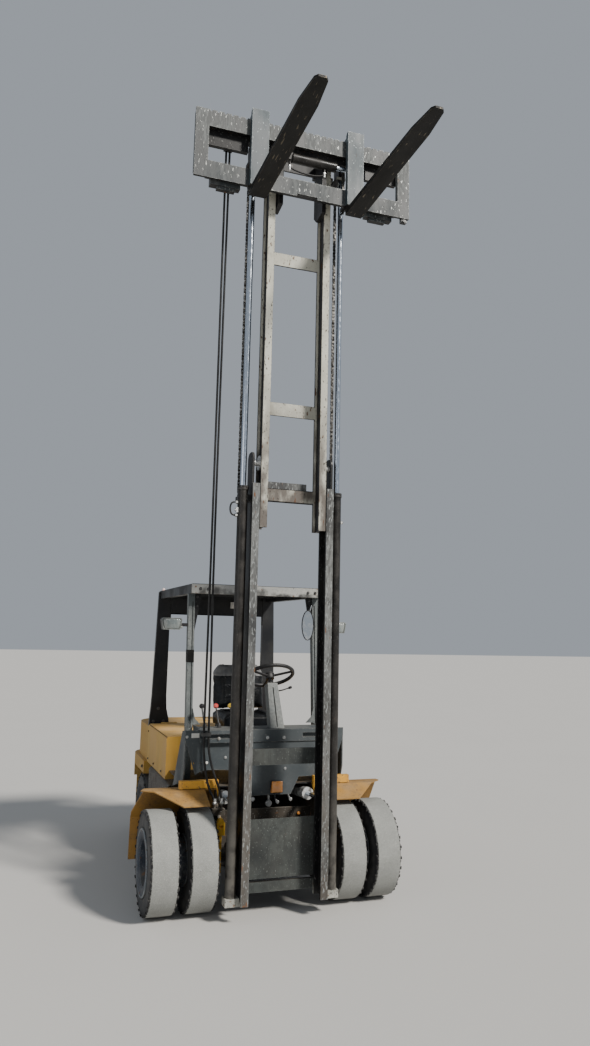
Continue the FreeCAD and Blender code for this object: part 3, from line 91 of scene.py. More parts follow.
class Body(Enum):
    """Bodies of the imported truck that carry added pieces."""

    CHASSIS = "chassis"
    HOOD = "hood"
    STEERING_WHEEL = "steering_wheel"
    FRONT_LEFT = "front_wheels_left"
    FRONT_RIGHT = "front_wheels_right"
    REAR_LEFT = "rear_wheel_left"
    REAR_RIGHT = "rear_wheel_right"
    OUTER_MAST = "outer_mast"
    INNER_MAST = "inner_mast"
    CARRIAGE = "carriage"
    FORK_FRAME = "fork_frame"
    FORK_LEFT = "fork_left"
    FORK_RIGHT = "fork_right"


class Slot(Enum):
    """Material slots of the record, handed along with the added pieces."""

    BLACK = "frame_black"
    PLASTIC = "black_plastic"
    BROWN = "barrel_brown"
    SILVER = "cylinder_silver"
    LAMP = "lamp"
    HOSE = "hose"
    VINYL = "seat_vinyl"
    TYRE = "tyre"
    RIM = "rim"
    CHAIN = "chain"
    FORK_STEEL = "fork_steel"
    YELLOW = "body_yellow"
    GUARD = "guard_dark"


# Shader nodes and shared effects


class Nodes:
    """Lays nodes in one shader tree and links them."""

    def __init__(self, tree: bpy.types.NodeTree) -> None:
        """Keeps the tree that the nodes go in.

        Args:
            tree: a material's or a node group's tree.
        """
        self.tree = tree

    def feed(self, socket: Socket, value: Input) -> None:
        """Links a socket to an input, or sets its value.

        Args:
            socket: the input socket.
            value: another node's output, or a plain value.
        """
        if isinstance(value, bpy.types.NodeSocket):
            self.tree.links.new(value, socket)
        else:
            if socket.type == "RGBA" and len(value) == 3:
                value = (*value, 1.0)
            socket.default_value = value

    def add(self, kind: str, inputs: Optional[dict] = None, **settings: object) -> bpy.types.Node:
        """Adds one node.

        Args:
            kind: the node's type.
            inputs: its inputs by name or number.
            settings: its own properties.

        Returns:
            The new node.
        """
        node = self.tree.nodes.new(kind)
        for name, value in settings.items():
            setattr(node, name, value)
        for key, value in (inputs or {}).items():
            self.feed(node.inputs[key], value)
        return node

    def math(self, operation: str, first: Input, second: Input = 0.0, clamp: bool = False) -> Socket:
        """Adds a math node and returns its output."""
        node = self.add("ShaderNodeMath", {0: first, 1: second}, operation=operation, use_clamp=clamp)
        return node.outputs[0]

    def cover(self, mask: Input, under: Input, over: Input) -> Socket:
        """Lays one colour over another.

        Args:
            mask: where the upper colour shows.
            under: the lower colour.
            over: the upper colour.

        Returns:
            The mixed colour.
        """
        node = self.add("ShaderNodeMix", data_type="RGBA")
        self.feed(node.inputs[0], mask)
        self.feed(node.inputs[6], under)
        self.feed(node.inputs[7], over)
        return node.outputs[2]

    def between(self, mask: Input, low: Input, high: Input) -> Socket:
        """Mixes two numbers by a mask and returns the result."""
        node = self.add("ShaderNodeMix", data_type="FLOAT")
        self.feed(node.inputs[0], mask)
        self.feed(node.inputs[2], low)
        self.feed(node.inputs[3], high)
        return node.outputs[0]

    def step(self, value: Input, low: Input, high: Input) -> Socket:
        """Turns a value into a smooth mask that is 0 at low and 1 at high."""
        node = self.add("ShaderNodeMapRange", {0: value, 1: low, 2: high}, interpolation_type="SMOOTHSTEP")
        return node.outputs[0]

    def noise(self, vector: Socket, scale: Input, detail: float = 4.0) -> Socket:
        """Adds a noise texture and returns its value."""
        node = self.add("ShaderNodeTexNoise", {"Vector": vector, "Scale": scale, "Detail": detail})
        return node.outputs[0]

    def group(self, effect: "Effect", **inputs: Input) -> bpy.types.Node:
        """Places a shared effect with this material's own values.

        Args:
            effect: which effect.
            inputs: the group's inputs by name.

        Returns:
            The group node.
        """
        node = self.tree.nodes.new("ShaderNodeGroup")
        node.node_tree = effect_tree(effect)
        for name, value in inputs.items():
            self.feed(node.inputs[name], value)
        return node

    def place(self) -> Socket:
        """Returns the piece's own coordinates, in metres."""
        return self.add("ShaderNodeTexCoord").outputs["Object"]


class Effect(Enum):
    """Surface effects that several finishes share."""

    EDGES = "edge wear"
    PATCHES = "patches"
    DUST = "settled dust"
    GRAIN = "surface grain"
    BELOW = "height band"


SOCKETS: dict[Effect, tuple[tuple[str, str, float], ...]] = {
    Effect.EDGES: (("Width", "NodeSocketFloat", 0.004), ("Strength", "NodeSocketFloat", 6.0),
                   ("Breakup", "NodeSocketFloat", 40.0)),
    Effect.PATCHES: (("Scale", "NodeSocketFloat", 8.0), ("Share", "NodeSocketFloat", 0.3),
                     ("Soft", "NodeSocketFloat", 0.04), ("Shift", "NodeSocketFloat", 0.0),
                     ("Stretch", "NodeSocketVector", 1.0)),
    Effect.DUST: (("Amount", "NodeSocketFloat", 0.4), ("Scale", "NodeSocketFloat", 5.0)),
    Effect.GRAIN: (("Fine", "NodeSocketFloat", 300.0), ("Broad", "NodeSocketFloat", 20.0),
                   ("Share", "NodeSocketFloat", 0.5), ("Stretch", "NodeSocketVector", 1.0)),
    Effect.BELOW: (("Low", "NodeSocketFloat", 0.0), ("High", "NodeSocketFloat", 1.0)),
}
_trees: dict[Effect, bpy.types.NodeTree] = {}


def effect_tree(effect: Effect) -> bpy.types.NodeTree:
    """Builds an effect's node group once.

    Args:
        effect: which effect.

    Returns:
        The shared node group.
    """
    if effect in _trees:
        return _trees[effect]
    tree = bpy.data.node_groups.new(effect.value, "ShaderNodeTree")
    for name, kind, value in SOCKETS[effect]:
        socket = tree.interface.new_socket(name, in_out="INPUT", socket_type=kind)
        socket.default_value = value if kind == "NodeSocketFloat" else (value, value, value)
    tree.interface.new_socket("Mask", in_out="OUTPUT", socket_type="NodeSocketFloat")
    nodes = Nodes(tree)
    inputs = nodes.add("NodeGroupInput").outputs
    mask = {Effect.EDGES: _edges, Effect.PATCHES: _patches, Effect.DUST: _dust,
            Effect.GRAIN: _grain, Effect.BELOW: _below}[effect](nodes, inputs)
    output = nodes.add("NodeGroupOutput")
    nodes.feed(output.inputs["Mask"], mask)
    _trees[effect] = tree
    return tree


def _edges(nodes: Nodes, inputs: Sequence[Socket]) -> Socket:
    """Mask along edges, broken up by noise."""
    bevel = nodes.add("ShaderNodeBevel", {"Radius": inputs["Width"]}, samples=4)
    flat = nodes.add("ShaderNodeNewGeometry").outputs["Normal"]
    dot = nodes.add("ShaderNodeVectorMath", {0: bevel.outputs[0], 1: flat}, operation="DOT_PRODUCT")
    turn = nodes.math("SUBTRACT", 1.0, dot.outputs["Value"])
    raised = nodes.math("MULTIPLY", turn, inputs["Strength"])
    noise = nodes.noise(nodes.place(), inputs["Breakup"], 3.0)
    broken = nodes.step(noise, 0.36, 0.6)
    return nodes.math("MULTIPLY", nodes.step(raised, 0.15, 1.0), broken, clamp=True)


def _stretched(nodes: Nodes, inputs: Sequence[Socket]) -> Socket:
    """The piece's coordinates, stretched by the group's input."""
    node = nodes.add("ShaderNodeVectorMath", {0: nodes.place(), 1: inputs["Stretch"]}, operation="MULTIPLY")
    return node.outputs[0]


def _patches(nodes: Nodes, inputs: Sequence[Socket]) -> Socket:
    """Mask of irregular patches that cover about a given share of the surface."""
    moved = nodes.add("ShaderNodeVectorMath", {0: _stretched(nodes, inputs), 1: inputs["Shift"]}, operation="ADD")
    noise = nodes.noise(moved.outputs[0], inputs["Scale"], 8.0)
    level = nodes.math("SUBTRACT", 0.66, nodes.math("MULTIPLY", inputs["Share"], 0.32))
    return nodes.step(noise, nodes.math("SUBTRACT", level, inputs["Soft"]), nodes.math("ADD", level, inputs["Soft"]))


def _dust(nodes: Nodes, inputs: Sequence[Socket]) -> Socket:
    """Mask of dust that settles on faces that look up."""
    normal = nodes.add("ShaderNodeNewGeometry").outputs["Normal"]
    height = nodes.add("ShaderNodeSeparateXYZ", {0: normal}).outputs[2]
    up = nodes.step(height, 0.1, 0.95)
    noise = nodes.step(nodes.noise(nodes.place(), inputs["Scale"], 6.0), 0.25, 0.75)
    thick = nodes.math("MULTIPLY", nodes.math("ADD", nodes.math("MULTIPLY", up, 0.85), 0.15), noise)
    return nodes.math("MULTIPLY", thick, inputs["Amount"], clamp=True)


def _grain(nodes: Nodes, inputs: Sequence[Socket]) -> Socket:
    """Height of a surface: fine grain over broad unevenness."""
    place = _stretched(nodes, inputs)
    fine = nodes.noise(place, inputs["Fine"], 3.0)
    broad = nodes.noise(place, inputs["Broad"], 4.0)
    return nodes.between(inputs["Share"], broad, fine)


def _below(nodes: Nodes, inputs: Sequence[Socket]) -> Socket:
    """Mask that is 1 below the low height and 0 above the high one, with a ragged edge."""
    place = nodes.place()
    height = nodes.add("ShaderNodeSeparateXYZ", {0: place}).outputs[2]
    ragged = nodes.math("ADD", height, nodes.math("MULTIPLY", nodes.noise(place, 7.0, 5.0), 0.2))
    low = nodes.math("ADD", inputs["Low"], 0.1)
    high = nodes.math("ADD", inputs["High"], 0.1)
    return nodes.math("SUBTRACT", 1.0, nodes.step(ragged, low, high))


# Finishes


@dataclass(frozen=True)
class Finish:
    """A named surface finish; each kind lays its own nodes."""

    name: str

    def material(self) -> bpy.types.Material:
        """Returns the finish's material, built the first time."""
        found = bpy.data.materials.get("finish_" + self.name)
        if found:
            return found
        material = bpy.data.materials.new("finish_" + self.name)
        material.use_nodes = True
        tree = material.node_tree
        shader = tree.nodes["Principled BSDF"]
        self.lay(Nodes(tree), shader)
        return material

    def lay(self, nodes: Nodes, shader: bpy.types.Node) -> None:
        """Lays the finish's nodes; every kind has its own."""
        raise NotImplementedError

    @staticmethod
    def bump(nodes: Nodes, shader: bpy.types.Node, height: Socket, depth: float) -> None:
        """Feeds a height to the shader's normal.

        Args:
            nodes: the material's nodes.
            shader: its Principled BSDF.
            height: the height, 0 to 1.
            depth: how deep the relief is, in metres.
        """
        bump = nodes.add("ShaderNodeBump", {"Height": height, "Distance": depth, "Strength": 1.0})
        nodes.feed(shader.inputs["Normal"], bump.outputs[0])


@dataclass(frozen=True)
class WornPaint(Finish):
    """Old paint: uneven colour, faded patches, chips down to a lower coat, rust and dust."""

    paint: Colour
    fade: Colour
    bare: Colour = (0.30, 0.29, 0.27)
    rust: Colour = (0.13, 0.055, 0.022)
    dust: Colour = (0.42, 0.38, 0.31)
    fade_share: float = 0.35
    chip_share: float = 0.05
    rust_share: float = 0.03
    dust_amount: float = 0.25
    edge: float = 0.004
    scale: float = 6.0
    chip_scale: float = 55.0
    stretch: Triple = (1.0, 1.0, 1.0)
    roughness: float = 0.55
    grain: float = 0.0006
    # Darker band towards the bottom: dirt on most finishes, painted shade under the guard's front beam.
    soil_and_shade: Colour = (0.02, 0.018, 0.016)
    soil_and_shade_low: float = -2.0
    soil_and_shade_high: float = -1.0
    soil_and_shade_share: float = 0.85
    specular: float = 0.5

    def lay(self, nodes: Nodes, shader: bpy.types.Node) -> None:
        """Lays base coat, fading, a darker lower band (dirt, and painted shade on the guard's front beam), chips,
        rust and dust over each other.
        """
        shift = (sum(map(ord, self.name)) % 17) * 1.7
        fade = nodes.group(Effect.PATCHES, Scale=self.scale, Share=self.fade_share, Soft=0.12, Shift=shift,
                           Stretch=self.stretch).outputs[0]
        fine = nodes.group(Effect.PATCHES, Scale=self.scale * 9, Share=self.fade_share, Soft=0.07,
                           Shift=shift + 3, Stretch=self.stretch).outputs[0]
        colour = nodes.cover(nodes.math("MULTIPLY", fade, nodes.between(fine, 0.45, 1.0)), self.paint, self.fade)
        # Darker lower band: dirt, and on the guard's front beam painted shade.
        if self.soil_and_shade_high > 0:
            low = nodes.group(Effect.BELOW, Low=self.soil_and_shade_low, High=self.soil_and_shade_high).outputs[0]
            smear = nodes.group(Effect.PATCHES, Scale=14.0, Share=0.75, Soft=0.15, Shift=shift + 5,
                                Stretch=self.stretch).outputs[0]
            soil_and_shade = nodes.math("MULTIPLY", nodes.math("MULTIPLY", low, smear), self.soil_and_shade_share)
            colour = nodes.cover(soil_and_shade, colour, self.soil_and_shade)
        edges = nodes.group(Effect.EDGES, Width=self.edge, Strength=5.0, Breakup=45.0).outputs[0]
        chips = nodes.group(Effect.PATCHES, Scale=self.chip_scale, Share=self.chip_share, Soft=0.012,
                            Shift=shift + 7, Stretch=self.stretch).outputs[0]
        worn = nodes.math("MAXIMUM", edges, chips)
        colour = nodes.cover(worn, colour, self.bare)
        rust = nodes.group(Effect.PATCHES, Scale=self.chip_scale * 0.35, Share=self.rust_share, Soft=0.03,
                           Shift=shift + 11, Stretch=self.stretch).outputs[0]
        colour = nodes.cover(rust, colour, self.rust)
        dust = nodes.group(Effect.DUST, Amount=self.dust_amount, Scale=self.scale).outputs[0]
        colour = nodes.cover(dust, colour, self.dust)
        nodes.feed(shader.inputs["Base Color"], colour)
        rough = nodes.between(fade, self.roughness, min(1.0, self.roughness + 0.2))
        rough = nodes.between(worn, rough, 0.42)
        rough = nodes.between(nodes.math("MAXIMUM", dust, rust), rough, 0.9)
        nodes.feed(shader.inputs["Roughness"], rough)
        nodes.feed(shader.inputs["Metallic"], nodes.math("MULTIPLY", worn, 0.5))
        shader.inputs["Specular IOR Level"].default_value = self.specular
        grain = nodes.group(Effect.GRAIN, Fine=420.0, Broad=35.0, Share=0.4, Stretch=self.stretch).outputs[0]
        height = nodes.math("SUBTRACT", nodes.math("ADD", grain, nodes.math("MULTIPLY", rust, 0.5)),
                            nodes.math("MULTIPLY", chips, 0.6))
        self.bump(nodes, shader, height, self.grain)


@dataclass(frozen=True)
class BareMetal(Finish):
    """Bare or plated metal with stains, scratches and a slight waviness."""

    colour: Colour
    stain: Colour = (0.05, 0.045, 0.04)
    stain_share: float = 0.2
    roughness: float = 0.3
    metallic: float = 1.0
    stretch: Triple = (1.0, 1.0, 1.0)
    scale: float = 20.0
    grain: float = 0.0002

    def lay(self, nodes: Nodes, shader: bpy.types.Node) -> None:
        """Lays stains and scratches over the metal."""
        stain = nodes.group(Effect.PATCHES, Scale=self.scale, Share=self.stain_share, Soft=0.1,
                            Shift=2.0, Stretch=self.stretch).outputs[0]
        streak = nodes.group(Effect.PATCHES, Scale=160.0, Share=0.35, Soft=0.12, Shift=6.0,
                             Stretch=self.stretch).outputs[0]
        colour = nodes.cover(stain, self.colour, self.stain)
        nodes.feed(shader.inputs["Base Color"], colour)
        rough = nodes.between(streak, self.roughness, self.roughness + 0.12)
        nodes.feed(shader.inputs["Roughness"], nodes.between(stain, rough, self.roughness + 0.3))
        nodes.feed(shader.inputs["Metallic"], nodes.between(stain, self.metallic, self.metallic * 0.6))
        grain = nodes.group(Effect.GRAIN, Fine=700.0, Broad=60.0, Share=0.6, Stretch=self.stretch).outputs[0]
        self.bump(nodes, shader, grain, self.grain)


@dataclass(frozen=True)
class TyreRubber(Finish):
    """Tyre worn smooth: pale gritty crown, ragged dark shoulders and dark sidewalls."""

    axle: Pair
    radius: float
    middle: float
    apart: float
    edge: float
    crown: Colour = (0.36, 0.36, 0.335)
    dark: Colour = (0.012, 0.012, 0.014)
    wall: Colour = (0.028, 0.029, 0.032)

    def lay(self, nodes: Nodes, shader: bpy.types.Node) -> None:
        """Splits the tyre by its distance from the axle and lays grit on the crown."""
        place = nodes.place()
        parts = nodes.add("ShaderNodeSeparateXYZ", {0: place}).outputs
        along = nodes.math("SUBTRACT", parts[1], self.axle[0])
        high = nodes.math("SUBTRACT", parts[2], self.axle[1])
        square = nodes.math("ADD", nodes.math("MULTIPLY", along, along), nodes.math("MULTIPLY", high, high))
        reach = nodes.math("SQRT", square)
        from_pair = nodes.math("SUBTRACT", nodes.math("ABSOLUTE", parts[0]), self.middle)
        across = nodes.math("ABSOLUTE", nodes.math("SUBTRACT", nodes.math("ABSOLUTE", from_pair), self.apart))
        ragged = nodes.math("MULTIPLY", nodes.math("SUBTRACT", nodes.noise(place, 42.0, 8.0), 0.5), 0.045)
        inside = nodes.step(nodes.math("ADD", across, ragged), self.edge + 0.0015, self.edge - 0.0015)
        crown = nodes.math("MULTIPLY", inside, nodes.step(reach, self.radius - 0.009, self.radius - 0.006))
        grit = nodes.group(Effect.PATCHES, Scale=260.0, Share=0.3, Soft=0.06, Shift=1.0).outputs[0]
        pits = nodes.group(Effect.PATCHES, Scale=120.0, Share=-0.1, Soft=0.03, Shift=4.0).outputs[0]
        broad = nodes.group(Effect.PATCHES, Scale=7.0, Share=0.5, Soft=0.2, Shift=8.0).outputs[0]
        pale = nodes.cover(broad, self.crown, tuple(v * 0.82 for v in self.crown))
        pale = nodes.cover(nodes.math("MULTIPLY", grit, 0.55), pale, tuple(min(1, v * 1.6) for v in self.crown))
        pale = nodes.cover(pits, pale, (0.09, 0.088, 0.085))
        dusty = nodes.group(Effect.PATCHES, Scale=16.0, Share=0.5, Soft=0.16, Shift=9.0).outputs[0]
        wall = nodes.cover(nodes.math("MULTIPLY", dusty, 0.5), self.wall, (0.10, 0.098, 0.09))
        shoulder = nodes.step(reach, self.radius - 0.05, self.radius - 0.02)
        wall = nodes.cover(shoulder, wall, self.dark)
        nodes.feed(shader.inputs["Base Color"], nodes.cover(crown, wall, pale))
        nodes.feed(shader.inputs["Roughness"], nodes.between(crown, 0.62, 0.9))
        grain = nodes.group(Effect.GRAIN, Fine=320.0, Broad=70.0, Share=0.6).outputs[0]
        rings = nodes.math("SINE", nodes.math("MULTIPLY", reach, 520.0))
        edge = nodes.math("MULTIPLY", nodes.math("MULTIPLY", rings, 0.4), nodes.math("SUBTRACT", 1.0, crown))
        self.bump(nodes, shader, nodes.math("ADD", grain, edge), 0.0016)


@dataclass(frozen=True)
class Soft(Finish):
    """Rubber, vinyl or moulded plastic with a fine grain and rubbed places."""

    colour: Colour
    rubbed: Colour
    rubbed_share: float = 0.3
    roughness: float = 0.6
    fine: float = 900.0
    grain: float = 0.0004
    dust_amount: float = 0.15
    specular: float = 0.35

    def lay(self, nodes: Nodes, shader: bpy.types.Node) -> None:
        """Lays rubbed places, dust and grain."""
        rubbed = nodes.group(Effect.PATCHES, Scale=14.0, Share=self.rubbed_share, Soft=0.15, Shift=3.0).outputs[0]
        edges = nodes.group(Effect.EDGES, Width=0.004, Strength=3.0, Breakup=30.0).outputs[0]
        colour = nodes.cover(nodes.math("MAXIMUM", rubbed, edges), self.colour, self.rubbed)
        dust = nodes.group(Effect.DUST, Amount=self.dust_amount, Scale=12.0).outputs[0]
        colour = nodes.cover(dust, colour, (0.34, 0.31, 0.26))
        nodes.feed(shader.inputs["Base Color"], colour)
        rough = nodes.between(rubbed, self.roughness, self.roughness - 0.12)
        nodes.feed(shader.inputs["Roughness"], nodes.between(dust, rough, 0.9))
        shader.inputs["Specular IOR Level"].default_value = self.specular
        cells = nodes.add("ShaderNodeTexVoronoi", {"Vector": nodes.place(), "Scale": self.fine})
        grain = nodes.group(Effect.GRAIN, Fine=self.fine * 0.6, Broad=50.0, Share=0.5).outputs[0]
        self.bump(nodes, shader, nodes.math("ADD", grain, cells.outputs["Distance"]), self.grain)


@dataclass(frozen=True)
class Lens(Finish):
    """Moulded lamp lens or mirror glass with flutes and a film of dust."""

    colour: Colour
    roughness: float = 0.08
    metallic: float = 0.0
    flutes: float = 0.0
    film: float = 0.25

    def lay(self, nodes: Nodes, shader: bpy.types.Node) -> None:
        """Lays the film of dust and the flutes."""
        film = nodes.group(Effect.PATCHES, Scale=25.0, Share=0.5, Soft=0.2, Shift=5.0).outputs[0]
        film = nodes.math("MULTIPLY", film, self.film)
        nodes.feed(shader.inputs["Base Color"], nodes.cover(film, self.colour, (0.5, 0.48, 0.43)))
        nodes.feed(shader.inputs["Roughness"], nodes.between(film, self.roughness, 0.7))
        shader.inputs["Metallic"].default_value = self.metallic
        shader.inputs["Coat Weight"].default_value = 0.6
        across = nodes.add("ShaderNodeSeparateXYZ", {0: nodes.place()}).outputs[0]
        wave = nodes.math("SINE", nodes.math("MULTIPLY", across, 520.0))
        grain = nodes.group(Effect.GRAIN, Fine=200.0, Broad=30.0, Share=0.3).outputs[0]
        height = nodes.math("ADD", nodes.math("MULTIPLY", wave, self.flutes), nodes.math("MULTIPLY", grain, 0.15))
        self.bump(nodes, shader, height, 0.0012)


@dataclass(frozen=True)
class Concrete(Finish):
    """The studio floor."""

    colour: Colour

    def lay(self, nodes: Nodes, shader: bpy.types.Node) -> None:
        """Lays a faint unevenness over a plain pale floor."""
        broad = nodes.group(Effect.PATCHES, Scale=0.8, Share=0.5, Soft=0.3, Shift=1.0).outputs[0]
        colour = nodes.cover(nodes.math("MULTIPLY", broad, 0.25), self.colour, tuple(v * 0.93 for v in self.colour))
        nodes.feed(shader.inputs["Base Color"], colour)
        shader.inputs["Roughness"].default_value = 0.85
        grain = nodes.group(Effect.GRAIN, Fine=60.0, Broad=6.0, Share=0.5).outputs[0]
        self.bump(nodes, shader, grain, 0.001)


BODY_YELLOW = WornPaint("body_yellow", (0.50, 0.275, 0.035), (0.56, 0.36, 0.09), bare=(0.16, 0.12, 0.08),
                        fade_share=0.55, chip_share=-0.15, rust_share=-0.3, dust_amount=0.75,
                        dust=(0.55, 0.36, 0.18), scale=5.0, stretch=(1.0, 1.0, 0.18), roughness=0.5,
                        soil_and_shade=(0.20, 0.12, 0.045), soil_and_shade_low=0.35, soil_and_shade_high=1.10, soil_and_shade_share=0.6)
CAST_YELLOW = WornPaint("cast_yellow", (0.46, 0.25, 0.035), (0.50, 0.32, 0.09), bare=(0.12, 0.09, 0.06),
                        fade_share=0.5, chip_share=-0.1, rust_share=-0.2, dust_amount=0.6,
                        dust=(0.48, 0.35, 0.22), scale=5.0, stretch=(1.0, 1.0, 0.5), roughness=0.62, grain=0.0016,
                        soil_and_shade=(0.10, 0.07, 0.035), soil_and_shade_low=0.2, soil_and_shade_high=0.75, soil_and_shade_share=0.7)
ORANGE = WornPaint("chassis_orange", (0.72, 0.36, 0.025), (0.42, 0.21, 0.035), bare=(0.13, 0.09, 0.06),
                   fade_share=0.4, chip_share=0.0, rust_share=-0.1, dust_amount=0.4, dust=(0.36, 0.26, 0.15),
                   scale=7.0, roughness=0.5)
CHASSIS_DARK = WornPaint("chassis_dark", (0.030, 0.022, 0.013), (0.055, 0.043, 0.030), chip_share=0.0,
                         chip_scale=110.0, rust_share=0.0, dust_amount=0.3, soil_and_shade=(0.014, 0.012, 0.010),
                         soil_and_shade_low=0.3, soil_and_shade_high=0.9)
FENDER = WornPaint("fender_ochre", (0.36, 0.185, 0.032), (0.22, 0.12, 0.035), bare=(0.10, 0.07, 0.045),
                   fade_share=0.5, chip_share=0.0, chip_scale=90.0, rust_share=-0.1, dust_amount=0.3,
                   dust=(0.42, 0.33, 0.22), scale=6.0, roughness=0.55)
CAP_YELLOW = WornPaint("cap_yellow", (0.90, 0.50, 0.02), (0.60, 0.33, 0.03), fade_share=0.3, chip_share=0.0,
                       chip_scale=120.0, rust_share=-0.2, scale=20.0)
BLACK = WornPaint("mast_black", (0.006, 0.006, 0.007), (0.024, 0.024, 0.024), bare=(0.14, 0.14, 0.135),
                  fade_share=0.3, chip_share=0.0, chip_scale=130.0, rust_share=-0.15, dust_amount=0.12, scale=5.0,
                  stretch=(1.0, 1.0, 0.3), roughness=0.42, grain=0.0008, specular=0.25)
FLANGE = WornPaint("flange_worn", (0.016, 0.017, 0.018), (0.125, 0.13, 0.128), bare=(0.27, 0.285, 0.28),
                   fade_share=0.62, chip_share=0.20, rust_share=-0.1, dust_amount=0.25, scale=6.0,
                   chip_scale=130.0, stretch=(1.0, 1.0, 0.25), roughness=0.5, grain=0.001,
                   soil_and_shade=(0.055, 0.045, 0.035), soil_and_shade_low=0.2, soil_and_shade_high=1.9, soil_and_shade_share=0.75)
PLATE_WORN = WornPaint("plate_worn", (0.009, 0.012, 0.012), (0.032, 0.039, 0.037), bare=(0.15, 0.165, 0.155),
                       fade_share=0.62, chip_share=0.05, rust_share=-0.30, dust_amount=0.3, scale=6.0,
                       chip_scale=120.0, stretch=(1.0, 1.0, 0.55), roughness=0.55, grain=0.001,
                       rust=(0.20, 0.075, 0.03))
FOOT_PALE = WornPaint("foot_pale", (0.26, 0.26, 0.23), (0.36, 0.36, 0.32), bare=(0.08, 0.08, 0.075),
                      fade_share=0.6, chip_share=0.2, rust_share=0.0, scale=14.0, chip_scale=90.0, roughness=0.7)
CREAM = WornPaint("mast_cream", (0.55, 0.54, 0.46), (0.42, 0.41, 0.34), bare=(0.055, 0.045, 0.038),
                  rust=(0.11, 0.055, 0.030), fade_share=0.35, chip_share=0.04, rust_share=-0.02, dust_amount=0.1,
                  scale=7.0, chip_scale=105.0, stretch=(1.0, 1.0, 0.4), roughness=0.62, grain=0.0012,
                  edge=0.006, soil_and_shade=(0.075, 0.060, 0.050), soil_and_shade_low=2.7, soil_and_shade_high=3.95, soil_and_shade_share=0.95)
INNER_SIDE = WornPaint("mast_side", (0.006, 0.006, 0.008), (0.016, 0.016, 0.018), bare=(0.12, 0.11, 0.10),
                       fade_share=0.3, chip_share=-0.1, chip_scale=120.0, rust_share=-0.1, dust_amount=0.1,
                       scale=5.0, stretch=(1.0, 1.0, 0.2), roughness=0.40, specular=0.25)
FRAME_GREY = WornPaint("fork_frame_grey", (0.024, 0.028, 0.030), (0.150, 0.160, 0.158), bare=(0.25, 0.26, 0.25),
                       fade_share=0.46, chip_share=0.10, rust_share=-0.3, dust_amount=0.15, scale=11.0,
                       chip_scale=95.0, stretch=(1.0, 1.0, 0.22), roughness=0.5, grain=0.0016, edge=0.006,
                       soil_and_shade=(0.030, 0.037, 0.041), soil_and_shade_low=4.98, soil_and_shade_high=5.14, soil_and_shade_share=0.72)
SHANK = WornPaint("shank_blue", (0.032, 0.050, 0.062), (0.065, 0.090, 0.102), bare=(0.28, 0.31, 0.32),
                  fade_share=0.45, chip_share=-0.05, rust_share=-0.3, scale=6.0, chip_scale=120.0,
                  stretch=(1.0, 1.0, 0.35), roughness=0.42, edge=0.005)
BLADE = WornPaint("blade_black", (0.005, 0.005, 0.005), (0.012, 0.011, 0.010), bare=(0.12, 0.10, 0.07),
                  fade_share=0.35, chip_share=0.0, rust_share=-0.3, dust_amount=0.1, scale=8.0, chip_scale=95.0,
                  stretch=(1.0, 0.12, 1.0), roughness=0.5, grain=0.0008, specular=0.2)
BARREL = WornPaint("barrel_brown", (0.008, 0.0074, 0.0068), (0.022, 0.0195, 0.0175), bare=(0.10, 0.097, 0.09),
                   fade_share=0.5, chip_share=0.03, rust_share=-0.3, dust_amount=0.08, scale=9.0,
                   chip_scale=150.0, roughness=0.30, grain=0.0009, soil_and_shade=(0.16, 0.15, 0.13), soil_and_shade_low=0.15,
                   soil_and_shade_high=1.0, soil_and_shade_share=0.55, specular=0.35)
COWL = WornPaint("cowl_grey", (0.034, 0.044, 0.050), (0.052, 0.063, 0.069), bare=(0.34, 0.34, 0.32),
                 fade_share=0.45, chip_share=-0.13, rust_share=-0.5, dust_amount=0.22, scale=5.0,
                 chip_scale=90.0, roughness=0.48)
POST = WornPaint("post_grey", (0.075, 0.088, 0.090), (0.145, 0.158, 0.155), bare=(0.025, 0.025, 0.025),
                 fade_share=0.5, chip_share=0.04, chip_scale=110.0, rust_share=-0.3, scale=6.0, roughness=0.48)
# Near-black; on the overhead guard's roof, rear posts, rear header and gussets it is painted shade.
GUARD = WornPaint("guard_dark", (0.0055, 0.0068, 0.0095), (0.013, 0.015, 0.018), bare=(0.11, 0.11, 0.105),
                  fade_share=0.4, chip_share=-0.12, chip_scale=90.0, rust_share=-0.3, dust_amount=0.22,
                  scale=5.0, roughness=0.42, specular=0.3)
# Pale faded grey for the guard's front beam; the dark band along its lower edge is painted shade under the roof.
BEAM_WITH_SHADE_BAND = WornPaint("beam_faded", (0.27, 0.275, 0.265), (0.36, 0.36, 0.34), bare=(0.10, 0.09, 0.08),
                 fade_share=0.5, chip_share=0.0, chip_scale=110.0, rust_share=-0.1, dust_amount=0.5, scale=8.0,
                 roughness=0.65, soil_and_shade=(0.03, 0.032, 0.034), soil_and_shade_low=2.125, soil_and_shade_high=2.155, soil_and_shade_share=0.95)
GREASY = WornPaint("greasy_steel", (0.008, 0.0075, 0.007), (0.022, 0.020, 0.017), bare=(0.10, 0.095, 0.09),
                   fade_share=0.4, chip_share=0.0, chip_scale=110.0, rust_share=0.0, dust_amount=0.35, scale=12.0,
                   roughness=0.36)
RIM = WornPaint("rim_blue", (0.024, 0.033, 0.050), (0.060, 0.074, 0.098), bare=(0.18, 0.19, 0.20),
                fade_share=0.4, chip_share=0.05, chip_scale=90.0, rust_share=0.0, dust_amount=0.3, scale=12.0,
                roughness=0.5)
RIM_LIP = WornPaint("rim_lip", (0.13, 0.15, 0.17), (0.21, 0.23, 0.24), bare=(0.08, 0.055, 0.04),
                    fade_share=0.5, chip_share=0.15, chip_scale=90.0, rust_share=0.05, scale=18.0, roughness=0.5)
